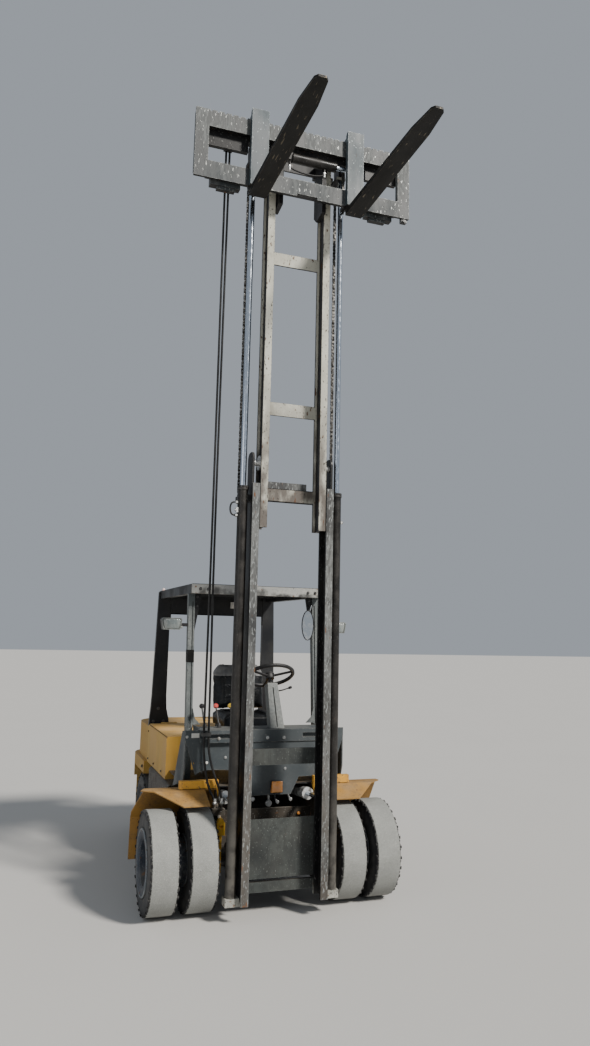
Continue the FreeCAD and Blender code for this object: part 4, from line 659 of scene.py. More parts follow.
# Chrome with a blue tint that paints in a reflection of sky.
CHROME_SKY_TINT = BareMetal("chrome", (0.62, 0.68, 0.76), stain=(0.16, 0.16, 0.16), stain_share=-0.1, roughness=0.16,
                   stretch=(1.0, 1.0, 0.2), grain=0.00004)
ROLLER = BareMetal("roller_steel", (0.66, 0.66, 0.64), stain_share=0.1, roughness=0.34, metallic=0.6)
ZINC = BareMetal("zinc", (0.62, 0.63, 0.62), stain=(0.20, 0.18, 0.15), stain_share=0.2, roughness=0.38)
BOLT_DARK = BareMetal("bolt_dark", (0.10, 0.10, 0.10), stain_share=0.3, roughness=0.45, metallic=0.8)
SILVER = BareMetal("cylinder_silver", (0.66, 0.67, 0.66), stain=(0.10, 0.09, 0.075), stain_share=0.3,
                   roughness=0.42, metallic=0.55, grain=0.0006)
CHAIN = BareMetal("chain_steel", (0.16, 0.155, 0.145), stain=(0.022, 0.018, 0.014), stain_share=0.5,
                  roughness=0.36, metallic=0.9, scale=60.0)
HOSE = Soft("hose_rubber", (0.006, 0.006, 0.007), (0.018, 0.018, 0.019), roughness=0.5, fine=1400.0)
PLASTIC = Soft("moulded_plastic", (0.006, 0.006, 0.008), (0.018, 0.018, 0.020), roughness=0.45)
# Black vinyl made darker still, to paint in the shade that the roof casts over the seat.
VINYL = Soft("seat_vinyl", (0.003, 0.004, 0.005), (0.009, 0.011, 0.014), rubbed_share=0.35, roughness=0.42,
             fine=700.0, dust_amount=0.03, specular=0.18)
VINYL_GREY = Soft("seat_cap", (0.095, 0.10, 0.103), (0.17, 0.17, 0.168), rubbed_share=0.4, roughness=0.5,
                  fine=700.0, dust_amount=0.3)
RED_KNOB = Soft("knob_red", (0.60, 0.03, 0.03), (0.66, 0.12, 0.10), roughness=0.3)
YELLOW_KNOB = Soft("knob_yellow", (0.90, 0.55, 0.02), (0.90, 0.68, 0.15), roughness=0.3)
# Near-black, for the band round a front post.
BLACK_BAND = Soft("black_tape", (0.003, 0.003, 0.003), (0.006, 0.006, 0.006), roughness=0.6, specular=0.1)
TORN_RUBBER = Soft("torn_rubber", (0.014, 0.014, 0.015), (0.05, 0.05, 0.048), roughness=0.7, dust_amount=0.1)
PALE_PLASTIC = Soft("pale_plastic", (0.66, 0.66, 0.64), (0.54, 0.53, 0.49), roughness=0.45)
PINK_CAP = Soft("sunbleached_cap", (0.66, 0.46, 0.44), (0.74, 0.63, 0.60), roughness=0.5)
LAMP_GLASS = Lens("lamp_glass", (0.17, 0.20, 0.20), flutes=0.5)
LAMP_RIM = Soft("lamp_rim", (0.12, 0.13, 0.125), (0.40, 0.41, 0.39), roughness=0.4)
RED_LENS = Lens("red_lens", (0.42, 0.01, 0.01), flutes=0.4)
AMBER_LENS = Lens("amber_lens", (0.85, 0.30, 0.02), flutes=0.4)
MIRROR_GLASS = Lens("mirror_glass", (0.75, 0.78, 0.80), roughness=0.04, metallic=1.0, film=0.2)
FLOOR = Concrete("studio_floor", (0.50, 0.49, 0.47))
TYRE_FRONT = TyreRubber("tyre_front", (AXLE_Y, TYRE_RADIUS), TYRE_RADIUS, 0.6415, 0.1275, 0.087,
                        crown=(0.245, 0.25, 0.235))
TYRE_REAR = TyreRubber("tyre_rear", (REAR_AXLE_Y, REAR_TYRE_RADIUS), REAR_TYRE_RADIUS, 0.522, 0.0, 0.076,
                       crown=(0.09, 0.09, 0.088))


# Mesh building


def axes_of(direction: Point) -> tuple[Vector, Vector, Vector]:
    """Three unit axes, the last along a direction.

    Args:
        direction: where the last axis points.

    Returns:
        Two axes across the direction, and the direction itself.
    """
    along = Vector(direction).normalized()
    side = (Z if abs(along.z) < 0.9 else X).cross(along).normalized()
    return side, along.cross(side), along


class Form:
    """Collects the faces of one joined mesh."""

    def __init__(self) -> None:
        """Starts empty."""
        self.points: list[Vector] = []
        self.faces: list[tuple[int, ...]] = []
        self.smooth: list[bool] = []

    def add(self, points: Iterable[Point], faces: Iterable[Sequence[int]], smooth: bool = False) -> None:
        """Adds points and the faces between them.

        Args:
            points: the new points.
            faces: indices into these points.
            smooth: whether the faces shade smoothly.
        """
        start = len(self.points)
        self.points += [Vector(point) for point in points]
        for face in faces:
            self.faces.append(tuple(start + index for index in face))
            self.smooth.append(smooth)

    def block(self, centre: Point, size: Point, axes: Optional[Sequence[Vector]] = None,
              bevel: float = 0.0) -> None:
        """Adds a block whose four long edges may be chamfered.

        Args:
            centre: its middle.
            size: its length along each of its axes.
            axes: its three axes; the frame's own if left out.
            bevel: the chamfer of the edges along the third axis.
        """
        u, v, w = axes or (X, Y, Z)
        a, b, c = (value / 2 for value in size)
        k = min(bevel, a, b)
        if k > 0:
            outline = [(-a + k, -b), (a - k, -b), (a, -b + k), (a, b - k), (a - k, b), (-a + k, b),
                       (-a, b - k), (-a, -b + k)]
        else:
            outline = [(-a, -b), (a, -b), (a, b), (-a, b)]
        self.prism(outline, Vector(centre) - w * c, u, v, w * (2 * c))

    def prism(self, outline: Sequence[Sequence[float]], start: Point, u: Vector, v: Vector, run: Vector) -> None:
        """Adds a prism.

        Args:
            outline: its outline as pairs along u and v.
            start: where the outline's origin lies.
            u: the outline's first axis.
            v: the outline's second axis.
            run: the prism's length and direction.
        """
        origin = Vector(start)
        count = len(outline)
        low = [origin + u * a + v * b for a, b in outline]
        sides = [(i, (i + 1) % count, count + (i + 1) % count, count + i) for i in range(count)]
        self.add(low + [point + run for point in low],
                 sides + [tuple(range(count - 1, -1, -1)), tuple(range(count, 2 * count))])

    def skin(self, points: Sequence[Vector], segments: int, smooth: bool = True, ring: bool = False) -> None:
        """Joins rows of points into a closed form.

        Args:
            points: the rows' points, one row after the other.
            segments: how many points a row has.
            smooth: whether the sides shade smoothly.
            ring: whether the last row joins the first; if not, both ends get a flat face.
        """
        rows = len(points) // segments
        faces: list[tuple[int, ...]] = []
        for row in range(rows if ring else rows - 1):
            near, far = row * segments, (row + 1) % rows * segments
            for index in range(segments):
                step = (index + 1) % segments
                faces.append((near + index, near + step, far + step, far + index))
        self.add(points, faces, smooth)
        if not ring:
            low = len(self.points) - len(points)
            high = len(self.points) - segments
            self.faces += [tuple(range(low + segments - 1, low - 1, -1)), tuple(range(high, high + segments))]
            self.smooth += [False, False]

    def lathe(self, profile: Sequence[Sequence[float]], centre: Point, direction: Point, segments: int = 24,
              smooth: bool = True) -> None:
        """Adds a closed turned form.

        Args:
            profile: radius and distance along the axis, from one end to the other.
            centre: where the distance is 0.
            direction: the axis.
            segments: how many sides.
            smooth: whether it shades smoothly.
        """
        u, v, w = axes_of(direction)
        origin = Vector(centre)
        turns = [2 * math.pi * (index + 0.5) / segments for index in range(segments)]
        points = [origin + w * along + u * (radius * math.cos(turn)) + v * (radius * math.sin(turn))
                  for radius, along in profile for turn in turns]
        self.skin(points, segments, smooth)

    def hoop(self, profile: Sequence[Sequence[float]], centre: Point, direction: Point, segments: int = 72) -> None:
        """Adds a turned ring whose profile closes on itself.

        Args:
            profile: radius and distance along the axis, all the way round the section.
            centre: where the distance is 0.
            direction: the axis.
            segments: how many sides.
        """
        u, v, w = axes_of(direction)
        origin = Vector(centre)
        turns = [2 * math.pi * index / segments for index in range(segments)]
        points = [origin + w * along + (u * math.cos(turn) + v * math.sin(turn)) * radius
                  for radius, along in profile for turn in turns]
        self.skin(points, segments, ring=True)

    def tube(self, path: Sequence[Point], radius: float, segments: int = 12) -> None:
        """Adds a round tube along a path.

        Args:
            path: the points that it follows.
            radius: its radius.
            segments: how many sides.
        """
        spots = [Vector(point) for point in path]
        u, _, _ = axes_of(spots[1] - spots[0])
        turns = [2 * math.pi * side / segments for side in range(segments)]
        points: list[Vector] = []
        for index, spot in enumerate(spots):
            ahead = spots[min(index + 1, len(spots) - 1)] - spots[max(index - 1, 0)]
            ahead.normalize()
            u = (u - ahead * u.dot(ahead)).normalized()
            v = ahead.cross(u)
            points += [spot + u * (radius * math.cos(turn)) + v * (radius * math.sin(turn)) for turn in turns]
        self.skin(points, segments)

    def bolt(self, seat: Point, normal: Point, size: float) -> None:
        """Adds a hexagon bolt head with its washer.

        Args:
            seat: where it stands on the sheet.
            normal: which way it looks.
            size: width of its head.
        """
        self.lathe([(size * 0.75, -0.001), (size * 0.75, size * 0.10), (size * 0.70, size * 0.14)], seat, normal,
                   18, False)
        low, half = size * 0.12, size / math.sqrt(3)
        self.lathe([(half, low), (half, low + size * 0.42), (half * 0.84, low + size * 0.52)], seat, normal, 6, False)
        self.lathe([(half * 0.45, low + size * 0.5), (half * 0.42, low + size * 0.58)], seat, normal, 10, False)

    def fitting(self, start: Point, way: Point, radius: float) -> None:
        """Adds a hose's end: hexagon nut and crimped ferrule.

        Args:
            start: where the nut begins.
            way: direction in which the hose leaves.
            radius: the hose's radius.
        """
        self.lathe([(radius * 1.75, 0.0), (radius * 1.85, 0.002), (radius * 1.85, 0.012), (radius * 1.7, 0.014)],
                   start, way, 6, False)
        ribs = [(radius * 1.3, 0.012)]
        for index in range(4):
            along = 0.015 + index * 0.006
            ribs += [(radius * 1.42, along), (radius * 1.42, along + 0.004), (radius * 1.3, along + 0.005)]
        self.lathe(ribs, start, way, 16, False)

    def piece(self, name: str, finish: Finish, body: Optional[Body], slot: Optional[Slot]) -> bpy.types.Object:
        """Makes the piece.

        Args:
            name: the piece's name.
            finish: its finish.
            body: the body that carries it, or None while more is done to it.
            slot: the record's material slot; not used.

        Returns:
            The new object.
        """
        mesh = bpy.data.meshes.new(name)
        mesh.from_pydata(self.points, [], self.faces)
        mesh.polygons.foreach_set("use_smooth", self.smooth)
        mesh.update()
        return settle(bpy.data.objects.new(name, mesh), finish, body)


def settle(piece: bpy.types.Object, finish: Finish, body: Optional[Body]) -> bpy.types.Object:
    """Links a piece to the scene, gives it its finish and puts it on its body.

    Args:
        piece: the object.
        finish: its finish.
        body: the body that carries it, if any.

    Returns:
        The same object.
    """
    if piece.name not in bpy.context.scene.collection.objects:
        bpy.context.scene.collection.objects.link(piece)
    piece.data.materials.clear()
    piece.data.materials.append(finish.material())
    if body:
        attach(piece, body.value)
    return piece


Where = Callable[[Vector, Vector], bool]


def paint(mesh: bpy.types.Mesh, finish: Finish, zones: Sequence[tuple[Finish, Where]] = ()) -> None:
    """Gives a mesh its finishes.

    Args:
        mesh: the mesh.
        finish: the finish of most of it.
        zones: other finishes, each with a test on a face's centre and normal.
    """
    mesh.materials.clear()
    for each in [finish] + [zone[0] for zone in zones]:
        mesh.materials.append(each.material())
    picks = []
    for face in mesh.polygons:
        hits = (index + 1 for index, (_, inside) in enumerate(zones) if inside(face.center, face.normal))
        picks.append(next(hits, 0))
    mesh.polygons.foreach_set("material_index", picks)


def coat(node: str, finish: Finish, zones: Sequence[tuple[Finish, Where]] = ()) -> None:
    """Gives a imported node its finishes, as paint does."""
    paint(NODES[node].data, finish, zones)


def smooth_route(points: Sequence[Point], radius: float, name: str) -> bpy.types.Object:
    """Makes a cord's curve: a NURBS spline with the route's points as its control points.

    Args:
        points: the route.
        radius: the cord's radius; 0 for the bare line.
        name: the curve's name.

    Returns:
        The curve object, not linked to the scene.
    """
    curve = bpy.data.curves.new(name, "CURVE")
    curve.dimensions = "3D"
    spline = curve.splines.new("NURBS")
    spline.points.add(len(points) - 1)
    for place, point in zip(spline.points, points):
        place.co = (*point, 1.0)
    spline.order_u = 3
    spline.use_endpoint_u = True
    curve.resolution_u = 12
    curve.bevel_depth = radius
    curve.bevel_resolution = 5
    curve.use_fill_caps = True
    return bpy.data.objects.new(name, curve)


def line_of(points: Sequence[Point]) -> list[Vector]:
    """Reads the smooth line of a route.

    Args:
        points: the route's control points.

    Returns:
        Points on its NURBS spline.
    """
    curve = smooth_route(points, 0.0, "route")
    mesh = bpy.data.meshes.new_from_object(curve)
    line = [vertex.co.copy() for vertex in mesh.vertices]
    bpy.data.meshes.remove(mesh)
    bpy.data.objects.remove(curve)
    return line


@dataclass
class Hose:
    """A hose along a given route, with a crimped fitting at each end."""

    name: str
    node: str
    route: list[Triple]
    length: float
    radius: float
    body: Body
    lay: str = "hanging"
    ends: tuple[bool, bool] = (True, True)

    def build(self) -> None:
        hose = smooth_route(self.route, self.radius, self.name)
        settle(hose, HOSE, self.body)
        spots = [Vector(point) for point in self.route]
        form = Form()
        for fitted, end, inward in zip(self.ends, (spots[0], spots[-1]), (spots[1], spots[-2])):
            if fitted:
                form.fitting(end, inward - end, self.radius)
        if any(self.ends):
            form.piece(self.name + "_fittings", ZINC, self.body, Slot.SILVER)
        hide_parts(self.node)
        LOG.info("%s: %.3f m", self.name, self.length)


# Tyres and wheels


@dataclass
class Tyres:
    """Tread remains and small parts of one pair of front wheels, or of one rear wheel."""

    name: str
    body: Body
    middles: tuple[float, ...]
    axle: Pair
    radius: float
    half_width: float
    stubs: int
    seed: int
    bevel: float = 0.011
    stub: Triple = (0.018, 0.016, 0.014)
    stub_more: Pair = (0.006, 0.012)
    crumb: Triple = (0.006, 0.004, 0.009)
    crumb_more: Pair = (0.012, 0.014)
    crumbs: int = 5

    def at(self, across: float, turn: float, reach: float) -> Vector:
        """Place on the wheel by its distance across, angle and radius."""
        return Vector((across, self.axle[0] + reach * math.cos(turn), self.axle[1] + reach * math.sin(turn)))

    def lump(self, form: Form, across: float, turn: float, size: Triple, draw: random.Random) -> None:
        """Adds one torn lump of rubber on a shoulder.

        Args:
            form: the mesh it goes in.
            across: its distance along the axle.
            turn: its angle round the axle.
            size: its length across, round and outwards.
            draw: the random numbers.
        """
        reach = self.radius - 0.0008 - size[2] / 2
        out = (self.at(across, turn, 1.0) - self.at(across, turn, 0.0)).normalized()
        round_way = X.cross(out)
        centre = self.at(across, turn, reach)
        corners = []
        for c in (-1, 1):
            for a, b in ((-1, -1), (1, -1), (1, 1), (-1, 1)):
                shrink = 0.62 if c > 0 else 1.0
                offset = [a * size[0] * shrink, b * size[1] * shrink, c * size[2]]
                jitter = [value / 2 * (1 - 0.35 * draw.random()) for value in offset]
                corners.append(centre + X * jitter[0] + round_way * jitter[1] + out * jitter[2])
        form.add(corners, [(0, 3, 2, 1), (4, 5, 6, 7), (0, 1, 5, 4), (1, 2, 6, 5), (2, 3, 7, 6), (3, 0, 4, 7)])

    def build(self) -> None:
        """Builds the lug stubs and crumbs along every shoulder."""
        draw = random.Random(self.seed)
        form = Form()
        for middle in self.middles:
            for side in (-1, 1):
                edge = middle + side * (self.half_width - self.bevel)
                phase = draw.random()
                for index in range(self.stubs):
                    turn = 2 * math.pi * (index + phase + 0.25 * draw.random()) / self.stubs
                    size = self.size_of(self.stub, self.stub_more, draw)
                    self.lump(form, edge + side * 0.003, turn, size, draw)
                for _ in range(self.stubs * self.crumbs):
                    turn = 2 * math.pi * draw.random()
                    size = self.size_of(self.crumb, self.crumb_more, draw)
                    self.lump(form, edge + side * (draw.random() * 0.006 - 0.006), turn, size, draw)
        form.piece(self.name + "_lug_stubs", TORN_RUBBER, self.body, Slot.TYRE)
        LOG.info("%s tread remains: %d faces", self.name, len(form.faces))

    @staticmethod
    def size_of(least: Triple, more: Pair, draw: random.Random) -> Triple:
        """Draws a lump's size: its least size and a random part of what is more."""
        return least[0] + more[0] * draw.random(), least[1] + more[1] * draw.random(), least[2]


@dataclass
class Wheels:
    """All wheels: rubber, rims, lug stubs and valves."""

    inner: float = 0.514
    outer: float = 0.769
    rear: float = 0.522
    front_half: float = 0.097
    rear_half: float = 0.086
    front_lip: float = 0.157
    rear_lip: float = 0.132
    nuts_from: float = 0.081
    nuts_to: float = 0.1085
    nuts_x: Pair = (0.6635, 0.70)
    rear_nuts: int = 5
    rear_nut_circle: float = 0.088
    flange_lip: float = 0.195
    flange: tuple[Pair, ...] = ((0.152, -0.020), (0.156, 0.0015), (0.188, 0.0025), (0.199, 0.0060), (0.208, 0.0070),
                                (0.2115, 0.0045), (0.2115, -0.0040), (0.150, -0.0240))

    def build(self) -> None:
        """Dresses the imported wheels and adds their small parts."""
        front = (AXLE_Y, TYRE_RADIUS)
        rear = (REAR_AXLE_Y, REAR_TYRE_RADIUS)
        for side, name, body in ((1, "left", Body.FRONT_LEFT), (-1, "right", Body.FRONT_RIGHT)):
            coat(f"front_tyres_{name}", TYRE_FRONT)
            coat(f"front_rims_{name}", RIM, [(RIM_LIP, self.lip(front, self.front_lip)), (ZINC, self.nuts(front))])
            Tyres(f"front_tyres_{name}", body, (side * self.inner, side * self.outer), front, TYRE_RADIUS,
                  self.front_half, 30, 11 + side).build()
            self.valve(f"front_valve_{name}", body, side, self.outer - 0.02, front, 0.120)
            form = Form()
            form.hoop(self.flange, (side * (self.outer + self.front_half), *front), X * side)
            ring = form.piece(f"front_flange_{name}", RIM, body, Slot.RIM)
            paint(ring.data, RIM, [(RIM_LIP, self.lip(front, self.flange_lip))])
        for side, name, body in ((1, "left", Body.REAR_LEFT), (-1, "right", Body.REAR_RIGHT)):
            coat(f"rear_tyre_{name}", TYRE_REAR)
            coat(f"rear_rim_{name}", RIM, [(RIM_LIP, self.lip(rear, self.rear_lip))])
            coat(f"rear_knuckle_{name}", GREASY)
            Tyres(f"rear_tyre_{name}", body, (side * self.rear,), rear, REAR_TYRE_RADIUS, self.rear_half, 26,
                  21 + side).build()
            self.valve(f"rear_valve_{name}", body, side, self.rear + 0.02, rear, 0.10)
            form = Form()
            for index in range(self.rear_nuts):
                turn = 2 * math.pi * index / self.rear_nuts
                seat = (side * (self.rear + 0.0155), rear[0] + self.rear_nut_circle * math.cos(turn),
                        rear[1] + self.rear_nut_circle * math.sin(turn))
                form.bolt(seat, X * side, 0.024)
            form.piece(f"rear_nuts_{name}", ZINC, body, Slot.RIM)
        LOG.info("wheels dressed")

    @staticmethod
    def lip(axle: Pair, radius: float) -> Where:
        """Test for faces of a rim's flanges."""
        return lambda at, _: math.hypot(at.y - axle[0], at.z - axle[1]) > radius

    def nuts(self, axle: Pair) -> Where:
        """Test for faces of the wheel nuts, which stand on the nut circle."""
        def inside(at: Vector, _: Vector) -> bool:
            """Whether a face is on a nut."""
            reach = math.hypot(at.y - axle[0], at.z - axle[1])
            return self.nuts_x[0] < abs(at.x) < self.nuts_x[1] and self.nuts_from < reach < self.nuts_to
        return inside

    @staticmethod
    def valve(name: str, body: Body, side: int, across: float, axle: Pair, reach: float) -> None:
        """Adds a tyre valve with its cap on the rim's disc."""
        form = Form()
        seat = (side * (across - 0.02), axle[0] + reach * 0.5, axle[1] + reach * 0.866)
        form.lathe([(0.006, 0.0), (0.006, 0.014), (0.0042, 0.016), (0.0042, 0.036), (0.0052, 0.037),
                    (0.0052, 0.047), (0.003, 0.049)], seat, X * side, 10, False)
        form.piece(name, BOLT_DARK, body, Slot.RIM)


# Masts


@dataclass
class LeafChain:
    """One strand of leaf chain laid over a row of pins."""

    pitch: float = 0.0254
    depth: float = 0.0155
    plate: float = 0.0022
    outer: tuple[float, ...] = (-0.0090, -0.0042, 0.0020, 0.0068)
    inner: tuple[float, ...] = (-0.0066, -0.0018, 0.0044, 0.0088)

    def link(self, form: Form, start: Vector, end: Vector, across: float) -> None:
        """Adds one link plate between two pins.

        Args:
            form: the mesh it goes in.
            start: the first pin.
            end: the second pin.
            across: the plate's place along the pins.
        """
        along = (end - start).normalized()
        side = along.cross(X)
        run = (end - start).length
        radius = self.depth / 2
        outline = [(-radius * 0.5, -radius * 0.87), (run * 0.35, -radius * 0.78), (run * 0.65, -radius * 0.78),
                   (run + radius * 0.5, -radius * 0.87), (run + radius, 0.0), (run + radius * 0.5, radius * 0.87),
                   (run * 0.65, radius * 0.78), (run * 0.35, radius * 0.78), (-radius * 0.5, radius * 0.87),
                   (-radius, 0.0)]
        form.prism(outline, start + X * (across - self.plate / 2), along, side, X * self.plate)

    def lay(self, form: Form, pins: Sequence[Vector]) -> None:
        """Lays the strand over its pins.

        Args:
            form: the mesh it goes in.
            pins: the pins' places in order.
        """
        for index in range(len(pins) - 1):
            for across in (self.outer if index % 2 else self.inner):
                self.link(form, pins[index], pins[index + 1], across)
        for pin in pins:
            form.lathe([(0.0034, -0.0108), (0.0042, -0.0100), (0.0042, 0.0100), (0.0034, 0.0108)], pin, X, 8, False)


@dataclass
class Masts:
    """Both masts with their lift cylinders, chains and long hoses."""

    chain_x: float = 0.346
    strand_y: float = -0.5345
    strand_low: float = 2.765
    strand_high: float = 5.343
    hose_low: tuple[Triple, ...] = ((-0.474, -0.302, 1.160), (-0.441, -0.302, 1.160))
    hose_high: tuple[Triple, ...] = ((-0.574, -0.740, 5.2115), (-0.549, -0.740, 5.2115))
    hose_radius: float = 0.008
    barrel_y: float = -0.6455
    channel_x: float = 0.24
    roller_at: Pair = (-0.648, 2.9955)
    roller_radius: float = 0.056
    roller_x: float = 0.282
    tie_plate: tuple[Triple, Triple] = ((0.0, -0.5625, 2.8625), (0.288, 0.024, 0.049))

    def build(self) -> None:
        """Dresses both masts and adds the inner mast, chains, hoses and fittings."""
        self.dress()
        InnerMast().build()
        self.chains()
        self.hoses()
        self.fittings()

    def dress(self) -> None:
        """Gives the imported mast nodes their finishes."""
        def front(at: Vector, normal: Vector) -> bool:
            """Front faces of the outer channels."""
            return normal.y < -0.8 and abs(at.x) > self.channel_x and at.z > 0.17 and at.y < -0.70

        def plate(at: Vector, normal: Vector) -> bool:
            """Front faces of the plates and ties between the channels."""
            return normal.y < -0.5 and abs(at.x) < self.channel_x and at.z < 1.2

        def foot(at: Vector, _: Vector) -> bool:
            """The barrels' foot blocks."""
            return at.z < 0.165 and abs(at.x) > self.channel_x

        def roller(at: Vector, _: Vector) -> bool:
            """Rollers at the heads of the outer channels."""
            reach = math.hypot(at.y - self.roller_at[0], at.z - self.roller_at[1])
            return reach < self.roller_radius and abs(at.x) < self.roller_x and at.z > 2.9

        coat("outer_mast", BLACK, [(FOOT_PALE, foot), (ROLLER, roller), (FLANGE, front), (PLATE_WORN, plate)])
        coat("lift_barrels", BARREL, [(ROLLER, lambda at, normal: normal.z > 0.9 and at.z > 2.7)])
        coat("lift_rods", CHROME_SKY_TINT)
        coat("chain_sheaves", GREASY)
        coat("chain_ends", CHAIN)
        coat("hose_clamp", BOLT_DARK)
        for side in ("left", "right"):
            coat(f"tilt_barrel_{side}", SILVER)
            coat(f"tilt_rod_{side}", CHROME_SKY_TINT)

    def chains(self) -> None:
        """Replaces the rear strands by link plates and pins."""
        chain = LeafChain()
        count = int((self.strand_high - self.strand_low) / chain.pitch)
        start = self.strand_high - count * chain.pitch
        for side, name in ((1, "left"), (-1, "right")):
            form = Form()
            pins = [Vector((side * self.chain_x, self.strand_y, start + index * chain.pitch))
                    for index in range(count + 1)]
            chain.lay(form, pins)
            strand = form.piece(f"leaf_chain_{name}", CHAIN, Body.OUTER_MAST, Slot.CHAIN)
            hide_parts("chain_strands")
            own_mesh(strand)
            LOG.info("leaf chain %s: %d links", name, count)

    def hoses(self) -> None:
        """Adds the two long hoses from the cowl to the carriage."""
        for index, (low, high) in enumerate(zip(self.hose_low, self.hose_high)):
            start, end = Vector(low), Vector(high)
            bow = Vector((-0.006 if index else 0.005, 0.010, 0.0))
            points = [start, start.lerp(end, 0.06), start.lerp(end, 0.3) + bow, start.lerp(end, 0.62) + bow * 0.6,
                      start.lerp(end, 0.94), end]
            line = line_of(points)
            form = Form()
            form.tube(line, self.hose_radius)
            hose = form.piece(f"long_hose_{index + 1}", HOSE, Body.OUTER_MAST, Slot.HOSE)
            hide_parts("lift_hoses")
            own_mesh(hose)
            LOG.info("long hose %d: %.3f m", index + 1, (end - start).length)

    def fittings(self) -> None:
        """Adds the cylinders' oil fittings and gland collars, and the plate of the outer mast's upper tie."""
        form = Form()
        for side in (-1, 1):
            x = side * (self.chain_x + 0.033)
            form.lathe([(0.011, 0.0), (0.013, 0.003), (0.013, 0.014), (0.010, 0.017)], (x, self.barrel_y, 2.620),
                       X * side, 6, False)
        form.lathe([(0.010, 0.0), (0.012, 0.002), (0.012, 0.013), (0.009, 0.015)], (-0.379, self.barrel_y, 2.710),
                   -X, 6, False)
        form.block((-0.386, self.barrel_y - 0.012, 2.655), (0.016, 0.020, 0.034), bevel=0.003)
        form.bolt((-0.394, self.barrel_y - 0.012, 2.655), -X, 0.014)
        form.piece("oil_fittings", ZINC, Body.OUTER_MAST, Slot.SILVER)
        collars = Form()
        for side in (-1, 1):
            centre = (side * self.chain_x, self.barrel_y, 2.795)
            collars.lathe([(0.0395, 0.004), (0.0405, 0.006), (0.0405, 0.010), (0.0395, 0.012)], centre, Z, 32, True)
            for index in range(6):
                turn = 2 * math.pi * index / 6
                way = Vector((math.cos(turn), math.sin(turn), 0))
                collars.block(Vector(centre) + way * 0.039 + Z * 0.021, (0.004, 0.008, 0.010),
                              (way, Z.cross(way), Z))
        collars.piece("gland_collars", BOLT_DARK, Body.OUTER_MAST, Slot.BROWN)
        plate = Form()
        plate.block(*self.tie_plate)
        head = plate.piece("outer_tie_top", BLACK, Body.OUTER_MAST, Slot.BLACK)
        paint(head.data, BLACK, [(FLANGE, lambda at, normal: normal.y < -0.9)])
        LOG.info("mast fittings added")


@dataclass
class InnerMast:
    """The inner mast with its ties at the heights that the photograph shows."""

    foot: float = 2.541
    top: float = 5.377
    front: float = -0.7155
    rear: float = -0.5805
    flange: float = 0.015
    flange_x: Pair = (0.188, 0.239)
    web_x: Pair = (0.2065, 0.2205)
    ties: tuple[Pair, ...] = ((2.748, 2.832), (3.365, 3.460), (4.500, 4.595), (5.257, 5.357))
    bracket_y: Pair = (-0.5675, -0.5485)
    bracket_z: Pair = (5.250, 5.300)
    rod_top: float = 5.235
    arm_x: Pair = (0.150, 0.314)
    plate_front: float = -0.6675
    plate_x: Pair = (0.304, 0.376)
    plate_thick: float = 0.022
    sheave: Triple = (0.346, -0.6145, 5.343)
    ear: float = 0.010
    roller: Pair = (-0.6475, 2.617)

    def build(self) -> None:
        """Builds channels, ties, rollers and the head that carries rods and sheaves."""
        form = Form()
        for side in (-1, 1):
            self.channel(form, side)
            self.head(form, side)
        for low, high in self.ties:
            self.span(form, (-self.flange_x[0], self.flange_x[0]), (self.rear - self.flange, self.rear), (low, high))
        mast = form.piece("inner_mast_welded", INNER_SIDE, Body.INNER_MAST, Slot.BLACK)
        paint(mast.data, INNER_SIDE, [(CREAM, lambda at, normal: normal.y < -0.6 and at.z < 5.30)])
        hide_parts("inner_mast")
        LOG.info("inner mast: %d faces", len(mast.data.polygons))

    @staticmethod
    def span(form: Form, x: Sequence[float], y: Sequence[float], z: Sequence[float]) -> None:
        """Adds a block between two limits on each axis."""
        limits = (x, y, z)
        form.block([(low + high) / 2 for low, high in limits], [abs(high - low) for low, high in limits])

    def channel(self, form: Form, side: int) -> None:
        """Adds one channel and its foot roller.

        Args:
            form: the mesh it goes in.
            side: 1 on +X, -1 on -X.
        """
        height = (self.foot, self.top)
        flange = [side * x for x in self.flange_x]
        self.span(form, flange, (self.front, self.front + self.flange), height)
        self.span(form, flange, (self.rear - self.flange, self.rear), height)
        self.span(form, [side * x for x in self.web_x], (self.front + self.flange, self.rear - self.flange), height)
        y, z = self.roller
        form.lathe([(0.054, 0.0), (0.056, 0.002), (0.056, 0.029), (0.054, 0.031)], (side * 0.248, y, z), X * side,
                   32)
        form.lathe([(0.022, 0.0), (0.022, 0.028)], (side * 0.2205, y, z), X * side, 20)

    def head(self, form: Form, side: int) -> None:
        """Adds the bracket behind the outer channel with the rod's plate, the sheave's ears and its pin.

        Args:
            form: the mesh it goes in.
            side: 1 on +X, -1 on -X.
        """
        x, y, z = self.sheave
        low = self.rod_top + self.plate_thick
        near, far = self.arm_x
        spans = [((near, self.flange_x[0]), (self.rear, self.bracket_y[1]), self.bracket_z),
                 ((self.flange_x[0], far), self.bracket_y, self.bracket_z),
                 (self.plate_x, (self.plate_front, self.bracket_y[1]), (self.rod_top, low))]
        for start in (x - 0.026, x + 0.016):
            spans.append(((start, start + self.ear), (self.plate_front, y + 0.022), (low, z + 0.028)))
        for across, deep, high in spans:
            self.span(form, [side * limit for limit in across], deep, high)
        form.lathe([(0.0155, 0.0), (0.0155, 0.052)], (side * (x - 0.026), y, z), X * side, 24)


# Carriage and forks


